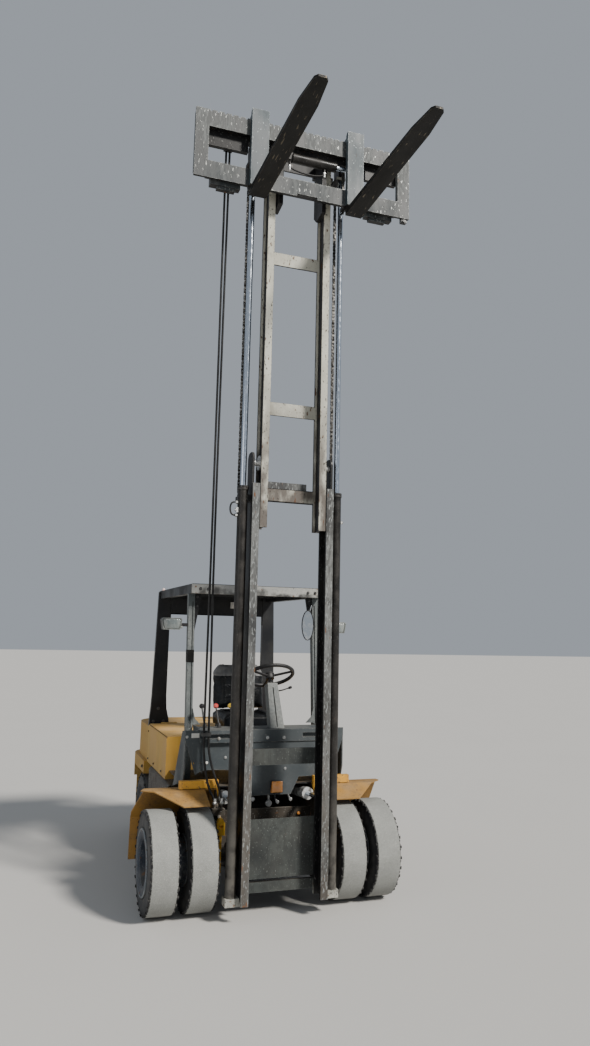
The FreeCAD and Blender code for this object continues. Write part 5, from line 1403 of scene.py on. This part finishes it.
@dataclass
class ForkCarriage:
    """Carriage, side-shift frame, its cylinder and the two forks."""

    stop_bolt: Triple = (0.781, -0.838, 4.898)
    fork_x: Pair = (0.365, -0.366)
    latch_at: Pair = (-0.832, 5.432)

    def build(self) -> None:
        """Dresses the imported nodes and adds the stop's bolt, the latches and the hose."""
        coat("carriage", BLACK)
        coat("fork_frame", FRAME_GREY, [(BLACK, lambda at, normal: normal.y > 0.5 or normal.z < -0.5)])
        coat("shift_barrel", BARREL)
        coat("shift_rod", CHROME_SKY_TINT)
        for side in ("left", "right"):
            coat(f"fork_{side}", BLADE, [(SHANK, lambda at, normal: at.y > -0.91 and at.z > 4.93)])
        self.stop()
        self.latches()
        Hose("shift_hose_loop", "shift_hose",
             [(-0.118, -0.8063, 5.1700), (-0.118, -0.8063, 5.1480), (-0.028, -0.8063, 5.1280),
              (0.080, -0.8063, 5.1260), (0.150, -0.8063, 5.1460), (0.150, -0.8063, 5.1700)],
             0.312, 0.006, Body.CARRIAGE).build()
        LOG.info("fork carriage dressed")

    def stop(self) -> None:
        """Adds the bolt of the frame's end stop."""
        form = Form()
        form.bolt(self.stop_bolt, -Y, 0.024)
        form.piece("stop_bolt", BOLT_DARK, Body.FORK_FRAME, Slot.FORK_STEEL)

    def latches(self) -> None:
        """Adds a spring latch on top of each fork's upper hook."""
        for x, name, body in zip(self.fork_x, ("left", "right"), (Body.FORK_LEFT, Body.FORK_RIGHT)):
            form = Form()
            form.lathe([(0.013, 0.0), (0.013, 0.020), (0.009, 0.024), (0.009, 0.034), (0.015, 0.036),
                        (0.015, 0.042), (0.010, 0.046)], (x, *self.latch_at), Z, 16, False)
            form.piece(f"fork_latch_{name}", BOLT_DARK, body, Slot.FORK_STEEL)


# Seat


@dataclass
class Seat:
    """Padded cushion and backrest with sewn seams, the pan and the bellows below."""

    middle: float = 0.075
    cushion_low: Triple = (-0.235, 0.395, 1.0753)
    cushion_high: Triple = (0.235, 0.8337, 1.185)
    back_profile: tuple[Pair, ...] = ((0.745, 1.1853), (0.855, 1.1853), (0.920, 1.500), (0.890, 1.575),
                                      (0.835, 1.575), (0.800, 1.500))
    back_half: float = 0.225
    seam_width: float = 0.006
    seam_depth: float = 0.007
    inset: float = 0.012
    swell_cap: float = 0.014
    base_y: float = 0.645
    pleats: int = 4

    def build(self) -> None:
        """Builds the cushion, the backrest and the base."""
        cushion = self.cushion()
        back = self.backrest()
        for pad, node in ((cushion, "seat_cushion"), (back, "seat_backrest")):
            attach(pad, Body.HOOD.value)
            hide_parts(node)
            LOG.info("%s: %d points", pad.name, len(pad.data.vertices))
        base = Form()
        base.block((self.middle, self.base_y, 1.0477), (0.380, 0.380, 0.0545), bevel=0.012)
        base.block((self.middle, 0.8445, 1.105), (0.300, 0.021, 0.160), bevel=0.004)
        frame_piece = base.piece("seat_pan", PLASTIC, Body.HOOD, Slot.PLASTIC)
        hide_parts("seat_base")
        self.bellows()

    def shoulders(self, spot: Vector) -> float:
        """Share of the backrest's width that is left at a point's height, under its round top corners."""
        rise = min(max((spot.z - 1.455) / 0.120, 0.0), 1.0)
        return 1.0 - 0.26 * rise ** 2.2

    def cushion(self) -> bpy.types.Object:
        """Builds the cushion, crowned, with side bolsters and two seams across."""
        low, high = Vector(self.cushion_low), Vector(self.cushion_high)
        inset = self.inset
        outline = [(low.x + inset, low.z + 0.004), (high.x - inset, low.z + 0.004),
                   (high.x - inset, high.z - 0.02), (high.x - 0.05, high.z - 0.006), (0.15, high.z - 0.012),
                   (0.12, high.z - 0.03), (-0.12, high.z - 0.03), (-0.15, high.z - 0.012),
                   (low.x + 0.05, high.z - 0.006), (low.x + inset, high.z - 0.02)]
        form = Form()
        form.prism(outline, (0, low.y + inset, 0), X, Z, Y * (high.y - low.y - 2 * inset))
        pad = form.piece("seat_cushion_pad", VINYL, None, None)
        seams = [lambda p: (abs(abs(p.x) - 0.135), p.z > high.z - 0.05),
                 lambda p: (abs(p.y - low.y - 0.15), p.z > high.z - 0.05 and abs(p.x) < 0.135),
                 lambda p: (abs(p.y - low.y - 0.29), p.z > high.z - 0.05 and abs(p.x) < 0.135)]
        return self.stuff(pad, seams, low, high)

    def backrest(self) -> bpy.types.Object:
        """Builds the backrest with bolsters, a cap and seams."""
        half = self.back_half - self.inset
        middle_y, middle_z = 0.84, 1.38
        outline = [(middle_y + (y - middle_y) * 0.9, middle_z + (z - middle_z) * 0.95)
                   for y, z in self.back_profile]
        form = Form()
        form.prism(outline, (-half, 0, 0), Y, Z, X * (2 * half))
        pad = form.piece("seat_back_pad", VINYL, None, None)
        pad.data.materials.append(VINYL_GREY.material())
        low = Vector((-self.back_half, 0.745, 1.1853))
        high = Vector((self.back_half, 0.920, 1.575))

        def front(p: Vector) -> bool:
            """Whether a point is on the face that looks forward."""
            return p.y < 0.775 + (p.z - 1.1853) * 0.18 + 0.03

        seams = [lambda p: (abs(abs(p.x) - 0.130), front(p)),
                 lambda p: (abs(p.z - 1.30), front(p) and abs(p.x) < 0.13),
                 lambda p: (abs(p.z - 1.38), front(p) and abs(p.x) < 0.13),
                 lambda p: (abs(p.z - 1.46), True)]
        pad = self.stuff(pad, seams, low, high)
        for face in pad.data.polygons:
            if face.center.z > 1.462:
                face.material_index = 1
        return pad

    def stuff(self, pad: bpy.types.Object, seams: Sequence[Callable[[Vector], tuple[float, bool]]],
              low: Vector, high: Vector) -> bpy.types.Object:
        """Swells a pad as cloth under pressure, then presses its seams in.

        Args:
            pad: the flat-sided form.
            seams: for each seam, a point's distance from it and whether it lies there.
            low: lowest corner that the pad may reach.
            high: highest corner that the pad may reach.

        Returns:
            The finished pad.
        """
        remesh = pad.modifiers.new("remesh", "REMESH")
        remesh.mode = "VOXEL"
        remesh.voxel_size = 0.006
        self.freeze(pad)
        for vertex in pad.data.vertices:
            vertex.co.x *= self.shoulders(vertex.co)
        rest = [vertex.co.copy() for vertex in pad.data.vertices]
        self.swell(pad, rest, self.swell_cap)
        smooth = pad.modifiers.new("smooth", "SMOOTH")
        smooth.factor = 0.6
        smooth.iterations = 6
        self.freeze(pad)
        for vertex in pad.data.vertices:
            spot = vertex.co
            press = 0.0
            for seam in seams:
                gap, lies = seam(spot)
                if lies:
                    press = max(press, math.exp(-(gap / self.seam_width) ** 2))
            vertex.co = spot - vertex.normal * (press * self.seam_depth)
            vertex.co = Vector([min(max(value, a), b) for value, a, b in zip(vertex.co, low, high)])
            vertex.co.x += self.middle
        subdivide = pad.modifiers.new("subdivide", "SUBSURF")
        subdivide.levels = subdivide.render_levels = 1
        self.freeze(pad)
        pad.data.polygons.foreach_set("use_smooth", [True] * len(pad.data.polygons))
        return pad

    @staticmethod
    def freeze(pad: bpy.types.Object) -> None:
        """Applies a pad's modifiers to its mesh."""
        graph = bpy.context.evaluated_depsgraph_get()
        mesh = bpy.data.meshes.new_from_object(pad.evaluated_get(graph))
        for material in pad.data.materials:
            if material.name not in mesh.materials:
                mesh.materials.append(material)
        pad.modifiers.clear()
        pad.data = mesh

    @staticmethod
    def swell(pad: bpy.types.Object, rest: Sequence[Vector], cap: float) -> None:
        """Runs the cloth under pressure and keeps each point near its start.

        Args:
            pad: the remeshed pad.
            rest: where its points started.
            cap: the furthest that a point may move.
        """
        cloth = pad.modifiers.new("swell", "CLOTH")
        cloth.settings.use_pressure = True
        cloth.settings.uniform_pressure_force = 4.0
        cloth.settings.effector_weights.gravity = 0.0
        cloth.point_cache.frame_start = 1
        cloth.point_cache.frame_end = 20
        for step in range(1, 21):
            bpy.context.scene.frame_set(step)
        graph = bpy.context.evaluated_depsgraph_get()
        moved = [vertex.co.copy() for vertex in pad.evaluated_get(graph).data.vertices]
        pad.modifiers.clear()
        bpy.context.scene.frame_set(1)
        for vertex, start, end in zip(pad.data.vertices, rest, moved):
            shift = end - start
            if shift.length > cap:
                shift *= cap / shift.length
            vertex.co = start + shift

    def bellows(self) -> None:
        """Adds the pleats round the seat's suspension, and the handle of its slide."""
        form = Form()
        for index in range(self.pleats):
            form.block((self.middle, self.base_y, 1.029 + index * 0.012), (0.386, 0.386, 0.007), bevel=0.02)
        form.piece("seat_bellows", PLASTIC, Body.HOOD, Slot.PLASTIC)
        handle = Form()
        handle.tube([(0.215, 0.47, 1.05), (0.215, 0.41, 1.045), (0.175, 0.395, 1.045), (0.115, 0.395, 1.045),
                     (0.075, 0.41, 1.045)], 0.006, 10)
        handle.piece("seat_handle", PLASTIC, Body.HOOD, Slot.PLASTIC)


# Body


@dataclass
class Truck:
    """Chassis, hood, counterweight, cowl and guard."""

    rail_y: float = -0.280
    panel_y: float = -0.245
    wheel_centre: Triple = (0.090, 0.007, 1.512)
    wheel_lean: float = 28.0
    rail_bolts: tuple[Pair, ...] = ((-0.005, 1.094), (0.119, 1.092), (-0.36, 1.094))
    panel_bolts: tuple[Pair, ...] = ((0.144, 0.871), (-0.579, 1.106), (0.36, 1.0), (-0.30, 0.96))
    levers_x: Triple = (-0.215, -0.325, -0.430)
    knob_z: float = 1.272
    black_band_z: Pair = (1.600, 1.692)
    lamp_x: float = 0.660
    lamp_z: float = 1.882
    lamp_outline: tuple[Pair, ...] = ((-0.062, 1.839), (0.062, 1.839), (0.075, 1.911), (0.066, 1.925),
                                      (-0.066, 1.925), (-0.075, 1.911))
    mirror_at: Triple = (0.420, 0.0845, 1.895)
    mirror_half: Pair = (0.0475, 0.1145)
    hood_half: float = 0.590
    floor_ribs: int = 24
    tail_bend: float = 0.090
    gap: float = 0.0003
    glands: tuple[Pair, ...] = ((-0.386, 0.510), (-0.337, 0.511))
    loop: Triple = (-0.3993, 2.620, 2.710)

    def build(self) -> None:
        """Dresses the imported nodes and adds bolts, plates, lamps and hoses."""
        self.dress()
        self.cowl_parts()
        self.guard_parts()
        self.lamps()
        self.hood_parts()
        self.controls()
        self.hydraulics()
        self.tails()

    def dress(self) -> None:
        """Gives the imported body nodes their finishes."""
        def outrigger(at: Vector, _: Vector) -> bool:
            """Mudguard arms ahead of the cowl."""
            return at.z > 0.755 and at.y < -0.2

        def cap(at: Vector, _: Vector) -> bool:
            """Trunnion caps round the mast's pivots."""
            return at.y < -0.395 and at.z > 0.27

        def front_post(at: Vector, _: Vector) -> bool:
            """The two front posts with their gussets."""
            return at.y < 0.26 and at.z < 2.115

        def front_beam(at: Vector, _: Vector) -> bool:
            """The roof's front beam."""
            return at.y < 0.105 and at.z > 2.1

        def gusset_in_shade(at: Vector, _: Vector) -> bool:
            """The gussets in the front posts' top corners, given the near-black guard finish as painted shade from
            the roof.
            """
            return at.y < 0.26 and at.z > 1.75 and abs(at.x) < 0.4755

        def knob(middle: float) -> Where:
            """Test for one lever's knob."""
            return lambda at, _: abs(at.x - middle) < 0.05 and at.z > self.knob_z

        # guard_roof takes the near-black guard finish as painted shade under the roof.
        plain = {GREASY: ("front_axle", "steer_axle", "engine"), GUARD: ("floor_plate", "guard_roof", "tail_grille"),
                 PLASTIC: ("steering_wheel", "work_lights"), FENDER: ("fenders",), CAST_YELLOW: ("counterweight",),
                 BODY_YELLOW: ("hood",), COWL: ("cowl",), POST: ("steering_column",)}
        for finish, nodes in plain.items():
            for node in nodes:
                coat(node, finish)
        coat("chassis_frame", CHASSIS_DARK, [(ORANGE, outrigger), (CAP_YELLOW, cap)])
        coat("cowl_marker", AMBER_LENS, [(GUARD, lambda at, _: at.y > -0.262)])
        coat("rear_lamps", RED_LENS, [(PLASTIC, lambda at, _: at.y < 1.445)])
        # The guard's roof, rear posts and gussets take the near-black finish as painted shade; the front beam's dark
        # lower band is painted shade too.
        coat("overhead_guard", GUARD, [(BEAM_WITH_SHADE_BAND, front_beam), (GUARD, gusset_in_shade), (POST, front_post)])
        coat("levers", BOLT_DARK, [(finish, knob(x)) for finish, x in zip((YELLOW_KNOB, RED_KNOB, PLASTIC),
                                                                          self.levers_x)])
        coat("mirror", PLASTIC, [(MIRROR_GLASS, lambda at, normal: normal.y < -0.9 and abs(at.x - 0.42) < 0.06)])
        LOG.info("body dressed")

    def cowl_parts(self) -> None:
        """Adds the cowl's bolts, plug and blank plate."""
        form = Form()
        for x, z in self.rail_bolts:
            form.bolt((x, self.rail_y, z), -Y, 0.016)
        for x, z in self.panel_bolts:
            form.bolt((x, self.panel_y, z), -Y, 0.013)
        form.piece("cowl_bolts", ZINC, Body.CHASSIS, Slot.SILVER)
        plug = Form()
        plug.lathe([(0.0068, 0.0), (0.010, 0.001), (0.010, 0.003), (0.006, 0.0048)],
                   (-0.434, self.panel_y + 0.0002, 0.929), -Y, 20)
        plug.block((-0.520, self.panel_y - 0.0008, 1.114), (0.056, 0.0016, 0.030))
        for x in (-0.544, -0.496):
            plug.lathe([(0.002, 0.0), (0.002, 0.002), (0.001, 0.0026)], (x, self.panel_y - 0.0014, 1.114), -Y, 8)
        plug.piece("cowl_blank_plate", PALE_PLASTIC, Body.CHASSIS, Slot.SILVER)

    def guard_parts(self) -> None:
        """Adds bolts, a black band on a front post, rear header, caps and the small lamp of the overhead guard."""
        form = Form()
        for side in (-1, 1):
            for x, z in ((0.455, 1.035), (0.545, 1.035), (0.505, 1.145)):
                form.bolt((side * x, 1.355, z), -Y, 0.020)
                form.bolt((side * x, 1.400, z), Y, 0.020)
            for z in (2.02, 2.09):
                form.bolt((side * 0.455, 0.1595, z), -Y, 0.014)
            for x in (0.46, 0.40):
                form.bolt((side * x, 0.0400, 2.147), -Y, 0.016)
        form.piece("guard_bolts", BOLT_DARK, Body.CHASSIS, Slot.GUARD)
        # A near-black band round one front post.
        band_form = Form()
        corners = []
        for z in self.black_band_z:
            y = 0.109 + (z - 1.602) * 0.0833
            corners += [(-0.5255, y - 0.0012, z), (-0.4745, y - 0.0012, z), (-0.4745, y + 0.0565, z),
                        (-0.5255, y + 0.0565, z)]
        band_form.add(corners, [(0, 3, 2, 1), (4, 5, 6, 7), (0, 1, 5, 4), (1, 2, 6, 5), (2, 3, 7, 6), (3, 0, 4, 7)])
        band_form.piece("post_black_band", BLACK_BAND, Body.CHASSIS, Slot.GUARD)
        # The rear header takes the near-black guard finish as painted shade under the roof.
        header = Form()
        header.block((0, 1.362, 2.045), (0.860, 0.010, 0.142))
        header.block((0, 1.3725, 1.979), (0.860, 0.031, 0.010))
        for side in (-1, 1):
            header.block((side * 0.462, 1.366, 2.005), (0.070, 0.010, 0.215))
        header.piece("rear_header", GUARD, Body.CHASSIS, Slot.GUARD)
        caps = Form()
        for x, y in ((-0.500, 1.385), (-0.020, 0.070)):
            caps.lathe([(0.017, 0.0), (0.017, 0.006), (0.013, 0.010), (0.013, 0.018), (0.009, 0.025), (0.003, 0.028)],
                       (x, y, 2.181), Z, 20)
        caps.piece("roof_caps", PINK_CAP, Body.CHASSIS, Slot.GUARD)
        lamp = Form()
        lamp.block((0.150, 1.345, 2.072), (0.056, 0.026, 0.056), bevel=0.006)
        lamp.lathe([(0.020, 0.0), (0.020, 0.004), (0.016, 0.008)], (0.150, 1.332, 2.070), -Y, 20)
        lamp.piece("cab_lamp", PALE_PLASTIC, Body.CHASSIS, Slot.LAMP)

    def lamps(self) -> None:
        """Adds bezels, crowned lenses and hinge bolts to the work lights, and a rim to the mirror."""
        outline = self.lamp_outline
        count = len(outline)
        rows = [(1.0, 0.0), (0.92, 0.006), (0.80, 0.009), (0.55, 0.012), (0.25, 0.0135)]
        section = ((1.015, 0.074, 1.015), (1.015, 0.0600, 1.015), (0.90, 0.0600, 0.864), (0.88, 0.0655, 0.8448))
        for side, name in ((1, "left"), (-1, "right")):
            middle = side * self.lamp_x
            lens = Form()
            points = [(middle + x * share * 0.90, 0.0652 - out, self.lamp_z + (z - self.lamp_z) * share * 0.86)
                      for share, out in rows for x, z in outline]
            faces = [(row * count + i, row * count + (i + 1) % count, (row + 1) * count + (i + 1) % count,
                      (row + 1) * count + i) for row in range(len(rows) - 1) for i in range(count)]
            faces += [tuple(range((len(rows) - 1) * count, len(rows) * count)), tuple(range(count - 1, -1, -1))]
            lens.add(points, faces, True)
            lens.piece(f"work_lens_{name}", LAMP_GLASS, Body.CHASSIS, Slot.LAMP)
            bezel = Form()
            for i in range(count):
                corners = [(middle + x * wide, y, self.lamp_z + (z - self.lamp_z) * tall)
                           for x, z in (outline[i], outline[(i + 1) % count]) for wide, y, tall in section]
                bezel.add(corners, [(0, 1, 5, 4), (1, 2, 6, 5), (2, 3, 7, 6), (3, 0, 4, 7), (3, 2, 1, 0),
                                    (4, 5, 6, 7)])
            bezel.bolt((middle - side * 0.085, 0.125, 1.859), -Y, 0.012)
            bezel.piece(f"work_bezel_{name}", LAMP_RIM, Body.CHASSIS, Slot.LAMP)
        rim = Form()
        x, y, z = self.mirror_at
        wide, tall = self.mirror_half
        turns = [2 * math.pi * index / 40 for index in range(41)]
        rim.tube([(x + wide * math.cos(turn), y, z + tall * math.sin(turn)) for turn in turns], 0.0035, 8)
        rim.piece("mirror_rim", PLASTIC, Body.CHASSIS, Slot.PLASTIC)

    def hood_parts(self) -> None:
        """Adds the hood's side screws and latch, the counterweight's bolts and the tow pin."""
        screws = Form()
        for side in (-1, 1):
            for y in (0.62, 0.98, 1.26):
                screws.bolt((side * self.hood_half, y, 0.735), X * side, 0.012)
            screws.bolt((side * self.hood_half, 1.285, 0.96), X * side, 0.010)
        screws.piece("hood_screws", BOLT_DARK, Body.HOOD, Slot.YELLOW)
        latch = Form()
        latch.block((0.0, 0.4440, 0.955), (0.090, 0.004, 0.040))
        latch.tube([(-0.032, 0.4425, 0.955), (-0.032, 0.424, 0.955), (-0.026, 0.418, 0.955), (0.026, 0.418, 0.955),
                    (0.032, 0.424, 0.955), (0.032, 0.4425, 0.955)], 0.004, 10)
        latch.piece("hood_latch", BOLT_DARK, Body.HOOD, Slot.YELLOW)
        weight = Form()
        for side in (-1, 1):
            for z in (0.58, 0.65):
                weight.bolt((side * 0.612, 1.40, z), X * side, 0.020)
        weight.piece("counterweight_bolts", BOLT_DARK, Body.CHASSIS, Slot.YELLOW)
        pin = Form()
        pin.lathe([(0.012, -0.135), (0.0145, -0.130), (0.0145, 0.058), (0.012, 0.062)], (0, 2.050, 0.640), Z, 24)
        pin.lathe([(0.024, 0.0), (0.027, 0.003), (0.027, 0.009), (0.022, 0.012)], (0, 2.050, 0.6405), Z, 28)
        pin.tube([(-0.012, 2.050, 0.690), (-0.016, 2.050, 0.712), (0.0, 2.050, 0.724), (0.016, 2.050, 0.712),
                  (0.012, 2.050, 0.690)], 0.004, 10)
        pin.piece("tow_pin", ZINC, Body.CHASSIS, Slot.SILVER)

    def controls(self) -> None:
        """Adds the wheel's boss, the direction lever, lever boots, pedal pads and the floor mat's ribs."""
        boss = Form()
        lean = math.radians(self.wheel_lean)
        axis = Vector((0, math.sin(lean), math.cos(lean)))
        boss.lathe([(0.030, 0.0), (0.036, 0.006), (0.034, 0.014), (0.020, 0.020), (0.004, 0.021)],
                   Vector(self.wheel_centre) + axis * 0.002, axis, 32)
        boss.piece("wheel_boss", PLASTIC, Body.STEERING_WHEEL, Slot.PLASTIC)
        stalk = Form()
        stalk.tube([(0.125, -0.060, 1.400), (0.165, -0.075, 1.408), (0.215, -0.085, 1.425)], 0.005, 10)
        stalk.lathe([(0.006, 0.0), (0.010, 0.004), (0.010, 0.022), (0.006, 0.027)], (0.212, -0.084, 1.424),
                    (0.9, -0.2, 0.3), 14)
        stalk.piece("direction_lever", PLASTIC, Body.CHASSIS, Slot.PLASTIC)
        boots = Form()
        for x in self.levers_x:
            profile = [(0.0165, 0.0)]
            for index in range(3):
                radius = 0.0165 - index * 0.003
                profile += [(radius, 0.003 + index * 0.006), (radius - 0.003, 0.006 + index * 0.006)]
            profile.append((0.0065, 0.022))
            boots.lathe(profile, (x, -0.130, 1.1640), Z, 20)
        boots.piece("lever_boots", PLASTIC, Body.CHASSIS, Slot.PLASTIC)
        pads = Form()
        for x, width in ((-0.210, 0.070), (-0.110, 0.070), (0.235, 0.060)):
            pads.block((x, -0.020, 0.888), (width + 0.004, 0.084, 0.006), bevel=0.010)
            for index in range(6):
                pads.block((x, -0.050 + index * 0.012, 0.892), (width - 0.010, 0.005, 0.004))
        pads.piece("pedal_pads", HOSE, Body.CHASSIS, Slot.PLASTIC)
        mat = Form()
        for index in range(self.floor_ribs):
            mat.block((0.0, -0.16 + index * 0.024, 0.7695), (1.06, 0.010, 0.003))
        mat.piece("floor_mat_ribs", HOSE, Body.CHASSIS, Slot.PLASTIC)

    def hydraulics(self) -> None:
        """Adds the pipe fittings that show between the cowl and the front cross member."""
        steel = Form()
        steel.lathe([(0.017, 0.0), (0.019, 0.003), (0.019, 0.016), (0.012, 0.020)], (-0.086, -0.205, 0.664), -Y)
        steel.tube([(-0.086, -0.200, 0.664), (-0.086, -0.150, 0.664), (-0.086, -0.120, 0.680),
                    (-0.086, -0.112, 0.755)], 0.009)
        for x, z in ((0.096, 0.640), (0.194, 0.655)):
            steel.tube([(x, -0.150, 0.757), (x, -0.160, z + 0.040), (x, -0.190, z + 0.012), (x, -0.222, z)], 0.007)
            steel.lathe([(0.012, 0.0), (0.014, 0.002), (0.014, 0.016), (0.011, 0.018)], (x, -0.220, z), -Y, 6,
                        False)
        steel.lathe([(0.021, -0.014), (0.024, -0.010), (0.024, 0.010), (0.021, 0.014)], (0.045, -0.180, 0.624), -Y)
        steel.block((0.045, -0.180, 0.655), (0.014, 0.020, 0.040))
        steel.tube([(0.045, -0.180, 0.660), (0.045, -0.165, 0.700), (0.045, -0.150, 0.757)], 0.008)
        steel.piece("cowl_pipes", ZINC, Body.CHASSIS, Slot.SILVER)
        spot = Form()
        spot.lathe([(0.008, 0.0), (0.011, 0.002), (0.011, 0.012), (0.007, 0.015)], (0.258, -0.2251, 0.556), -Y, 16)
        spot.piece("plug_cap", AMBER_LENS, Body.CHASSIS, Slot.LAMP)

    def tails(self) -> None:
        """Adds the hoses below the cowl's clamp and the loop on the right barrel."""
        masts = Masts()
        routes = [[(-0.470, -0.305, 1.000), (-0.452, -0.311, 0.850), (-0.420, -0.319, 0.750)],
                  [(-0.430, -0.305, 0.980), (-0.396, -0.313, 0.862), (-0.354, -0.321, 0.762)]]
        for index, (route, (gland, length)) in enumerate(zip(routes, self.glands)):
            low, high = Vector(masts.hose_low[index]), Vector(masts.hose_high[index])
            down = (low - high).normalized()
            start = low + down * self.gap
            points = [tuple(start), tuple(start + down * self.tail_bend)] + route
            points += [(gland, -0.323, 0.693), (gland, -0.323, 0.6653)]
            Hose(f"tail_hose_{index + 1}", "hose_tails", points, length, masts.hose_radius, Body.CHASSIS,
                 ends=(False, True)).build()
        x, low, high = self.loop
        route = [(0.0, low), (-0.018, low), (-0.032, low + 0.026), (-0.032, high - 0.026), (-0.018, high),
                 (0.0, high)]
        Hose("barrel_hose_loop", "barrel_loop", [(x + out, masts.barrel_y, z) for out, z in route], 0.129, 0.006,
             Body.OUTER_MAST, ends=(False, False)).build()


# Studio


@dataclass
class Studio:
    """Plain pale floor, soft light, and the camera at the photograph's viewing angle."""

    eye: Triple = (-1.7671, -5.7932, 1.8431)
    yaw: float = 19.2346
    pitch: float = 8.4980
    roll: float = 1.2716
    focal: float = 788.3017
    centre: Pair = (293.946, 513.8895)
    frame_size: Pair = (590.0, 1046.0)
    floor_half: float = 60.0
    floor_z: float = -0.0006
    sensor: float = 36.0

    def build(self) -> None:
        """Builds floor, lights and camera."""
        self.floor()
        self.lights()
        self.camera()
        LOG.info("studio set up")

    def floor(self) -> None:
        """Adds the floor."""
        form = Form()
        size = self.floor_half
        form.add([(x * size, y * size, self.floor_z) for x, y in ((-1, -1), (1, -1), (1, 1), (-1, 1))],
                 [(0, 1, 2, 3)])
        form.piece("floor", FLOOR, None, None)

    def lights(self) -> None:
        """Adds a pale surround, a broad sun-like key from the right and a low fill."""
        world = bpy.data.worlds.new("studio")
        world.use_nodes = True
        back = world.node_tree.nodes["Background"]
        back.inputs["Color"].default_value = (0.80, 0.87, 0.96, 1.0)
        back.inputs["Strength"].default_value = 0.42
        bpy.context.scene.world = world
        key = bpy.data.lights.new("key", "SUN")
        key.energy = 5.2
        key.angle = math.radians(9.0)
        key.color = (1.0, 0.96, 0.90)
        self.aim(key, (4.2, -6.0, 7.5), (0.0, 0.0, 1.5))
        fill = bpy.data.lights.new("fill", "AREA")
        fill.energy = 90.0
        fill.size = 5.0
        self.aim(fill, (-7.0, -5.0, 3.0), (0.0, 0.0, 1.5))

    @staticmethod
    def aim(light: bpy.types.Light, place: Point, target: Point) -> None:
        """Places a light and turns it to its target."""
        lamp = bpy.data.objects.new(light.name, light)
        bpy.context.scene.collection.objects.link(lamp)
        lamp.location = place
        lamp.rotation_euler = (Vector(target) - Vector(place)).to_track_quat("-Z", "Y").to_euler()

    def camera(self) -> None:
        """Adds the camera."""
        yaw, pitch, roll = (math.radians(value) for value in (self.yaw, self.pitch, self.roll))
        ahead = Vector((math.sin(yaw) * math.cos(pitch), math.cos(yaw) * math.cos(pitch), math.sin(pitch)))
        right = Vector((math.cos(yaw), -math.sin(yaw), 0))
        above = right.cross(ahead)
        turned_right = right * math.cos(roll) + above * math.sin(roll)
        turned_up = -right * math.sin(roll) + above * math.cos(roll)
        matrix = Matrix((turned_right, turned_up, -ahead)).transposed().to_4x4()
        matrix.translation = Vector(self.eye)
        camera = bpy.data.objects.new("camera", bpy.data.cameras.new("camera"))
        bpy.context.scene.collection.objects.link(camera)
        camera.matrix_world = matrix
        width, height = self.frame_size
        camera.data.sensor_width = self.sensor
        camera.data.lens = self.focal / height * self.sensor
        camera.data.shift_x = (width / 2 - self.centre[0]) / height
        camera.data.shift_y = (self.centre[1] - height / 2) / height
        camera.data.clip_end = 200.0
        bpy.context.scene.camera = camera


def main() -> None:
    """Builds every sub-assembly in order."""
    logging.basicConfig(level=logging.INFO, format="%(name)s: %(message)s")
    for assembly in (Wheels(), Masts(), ForkCarriage(), Seat(), Truck(), Studio()):
        assembly.build()
        LOG.info("%s done", type(assembly).__name__)


if __name__ == "__main__":
    main()
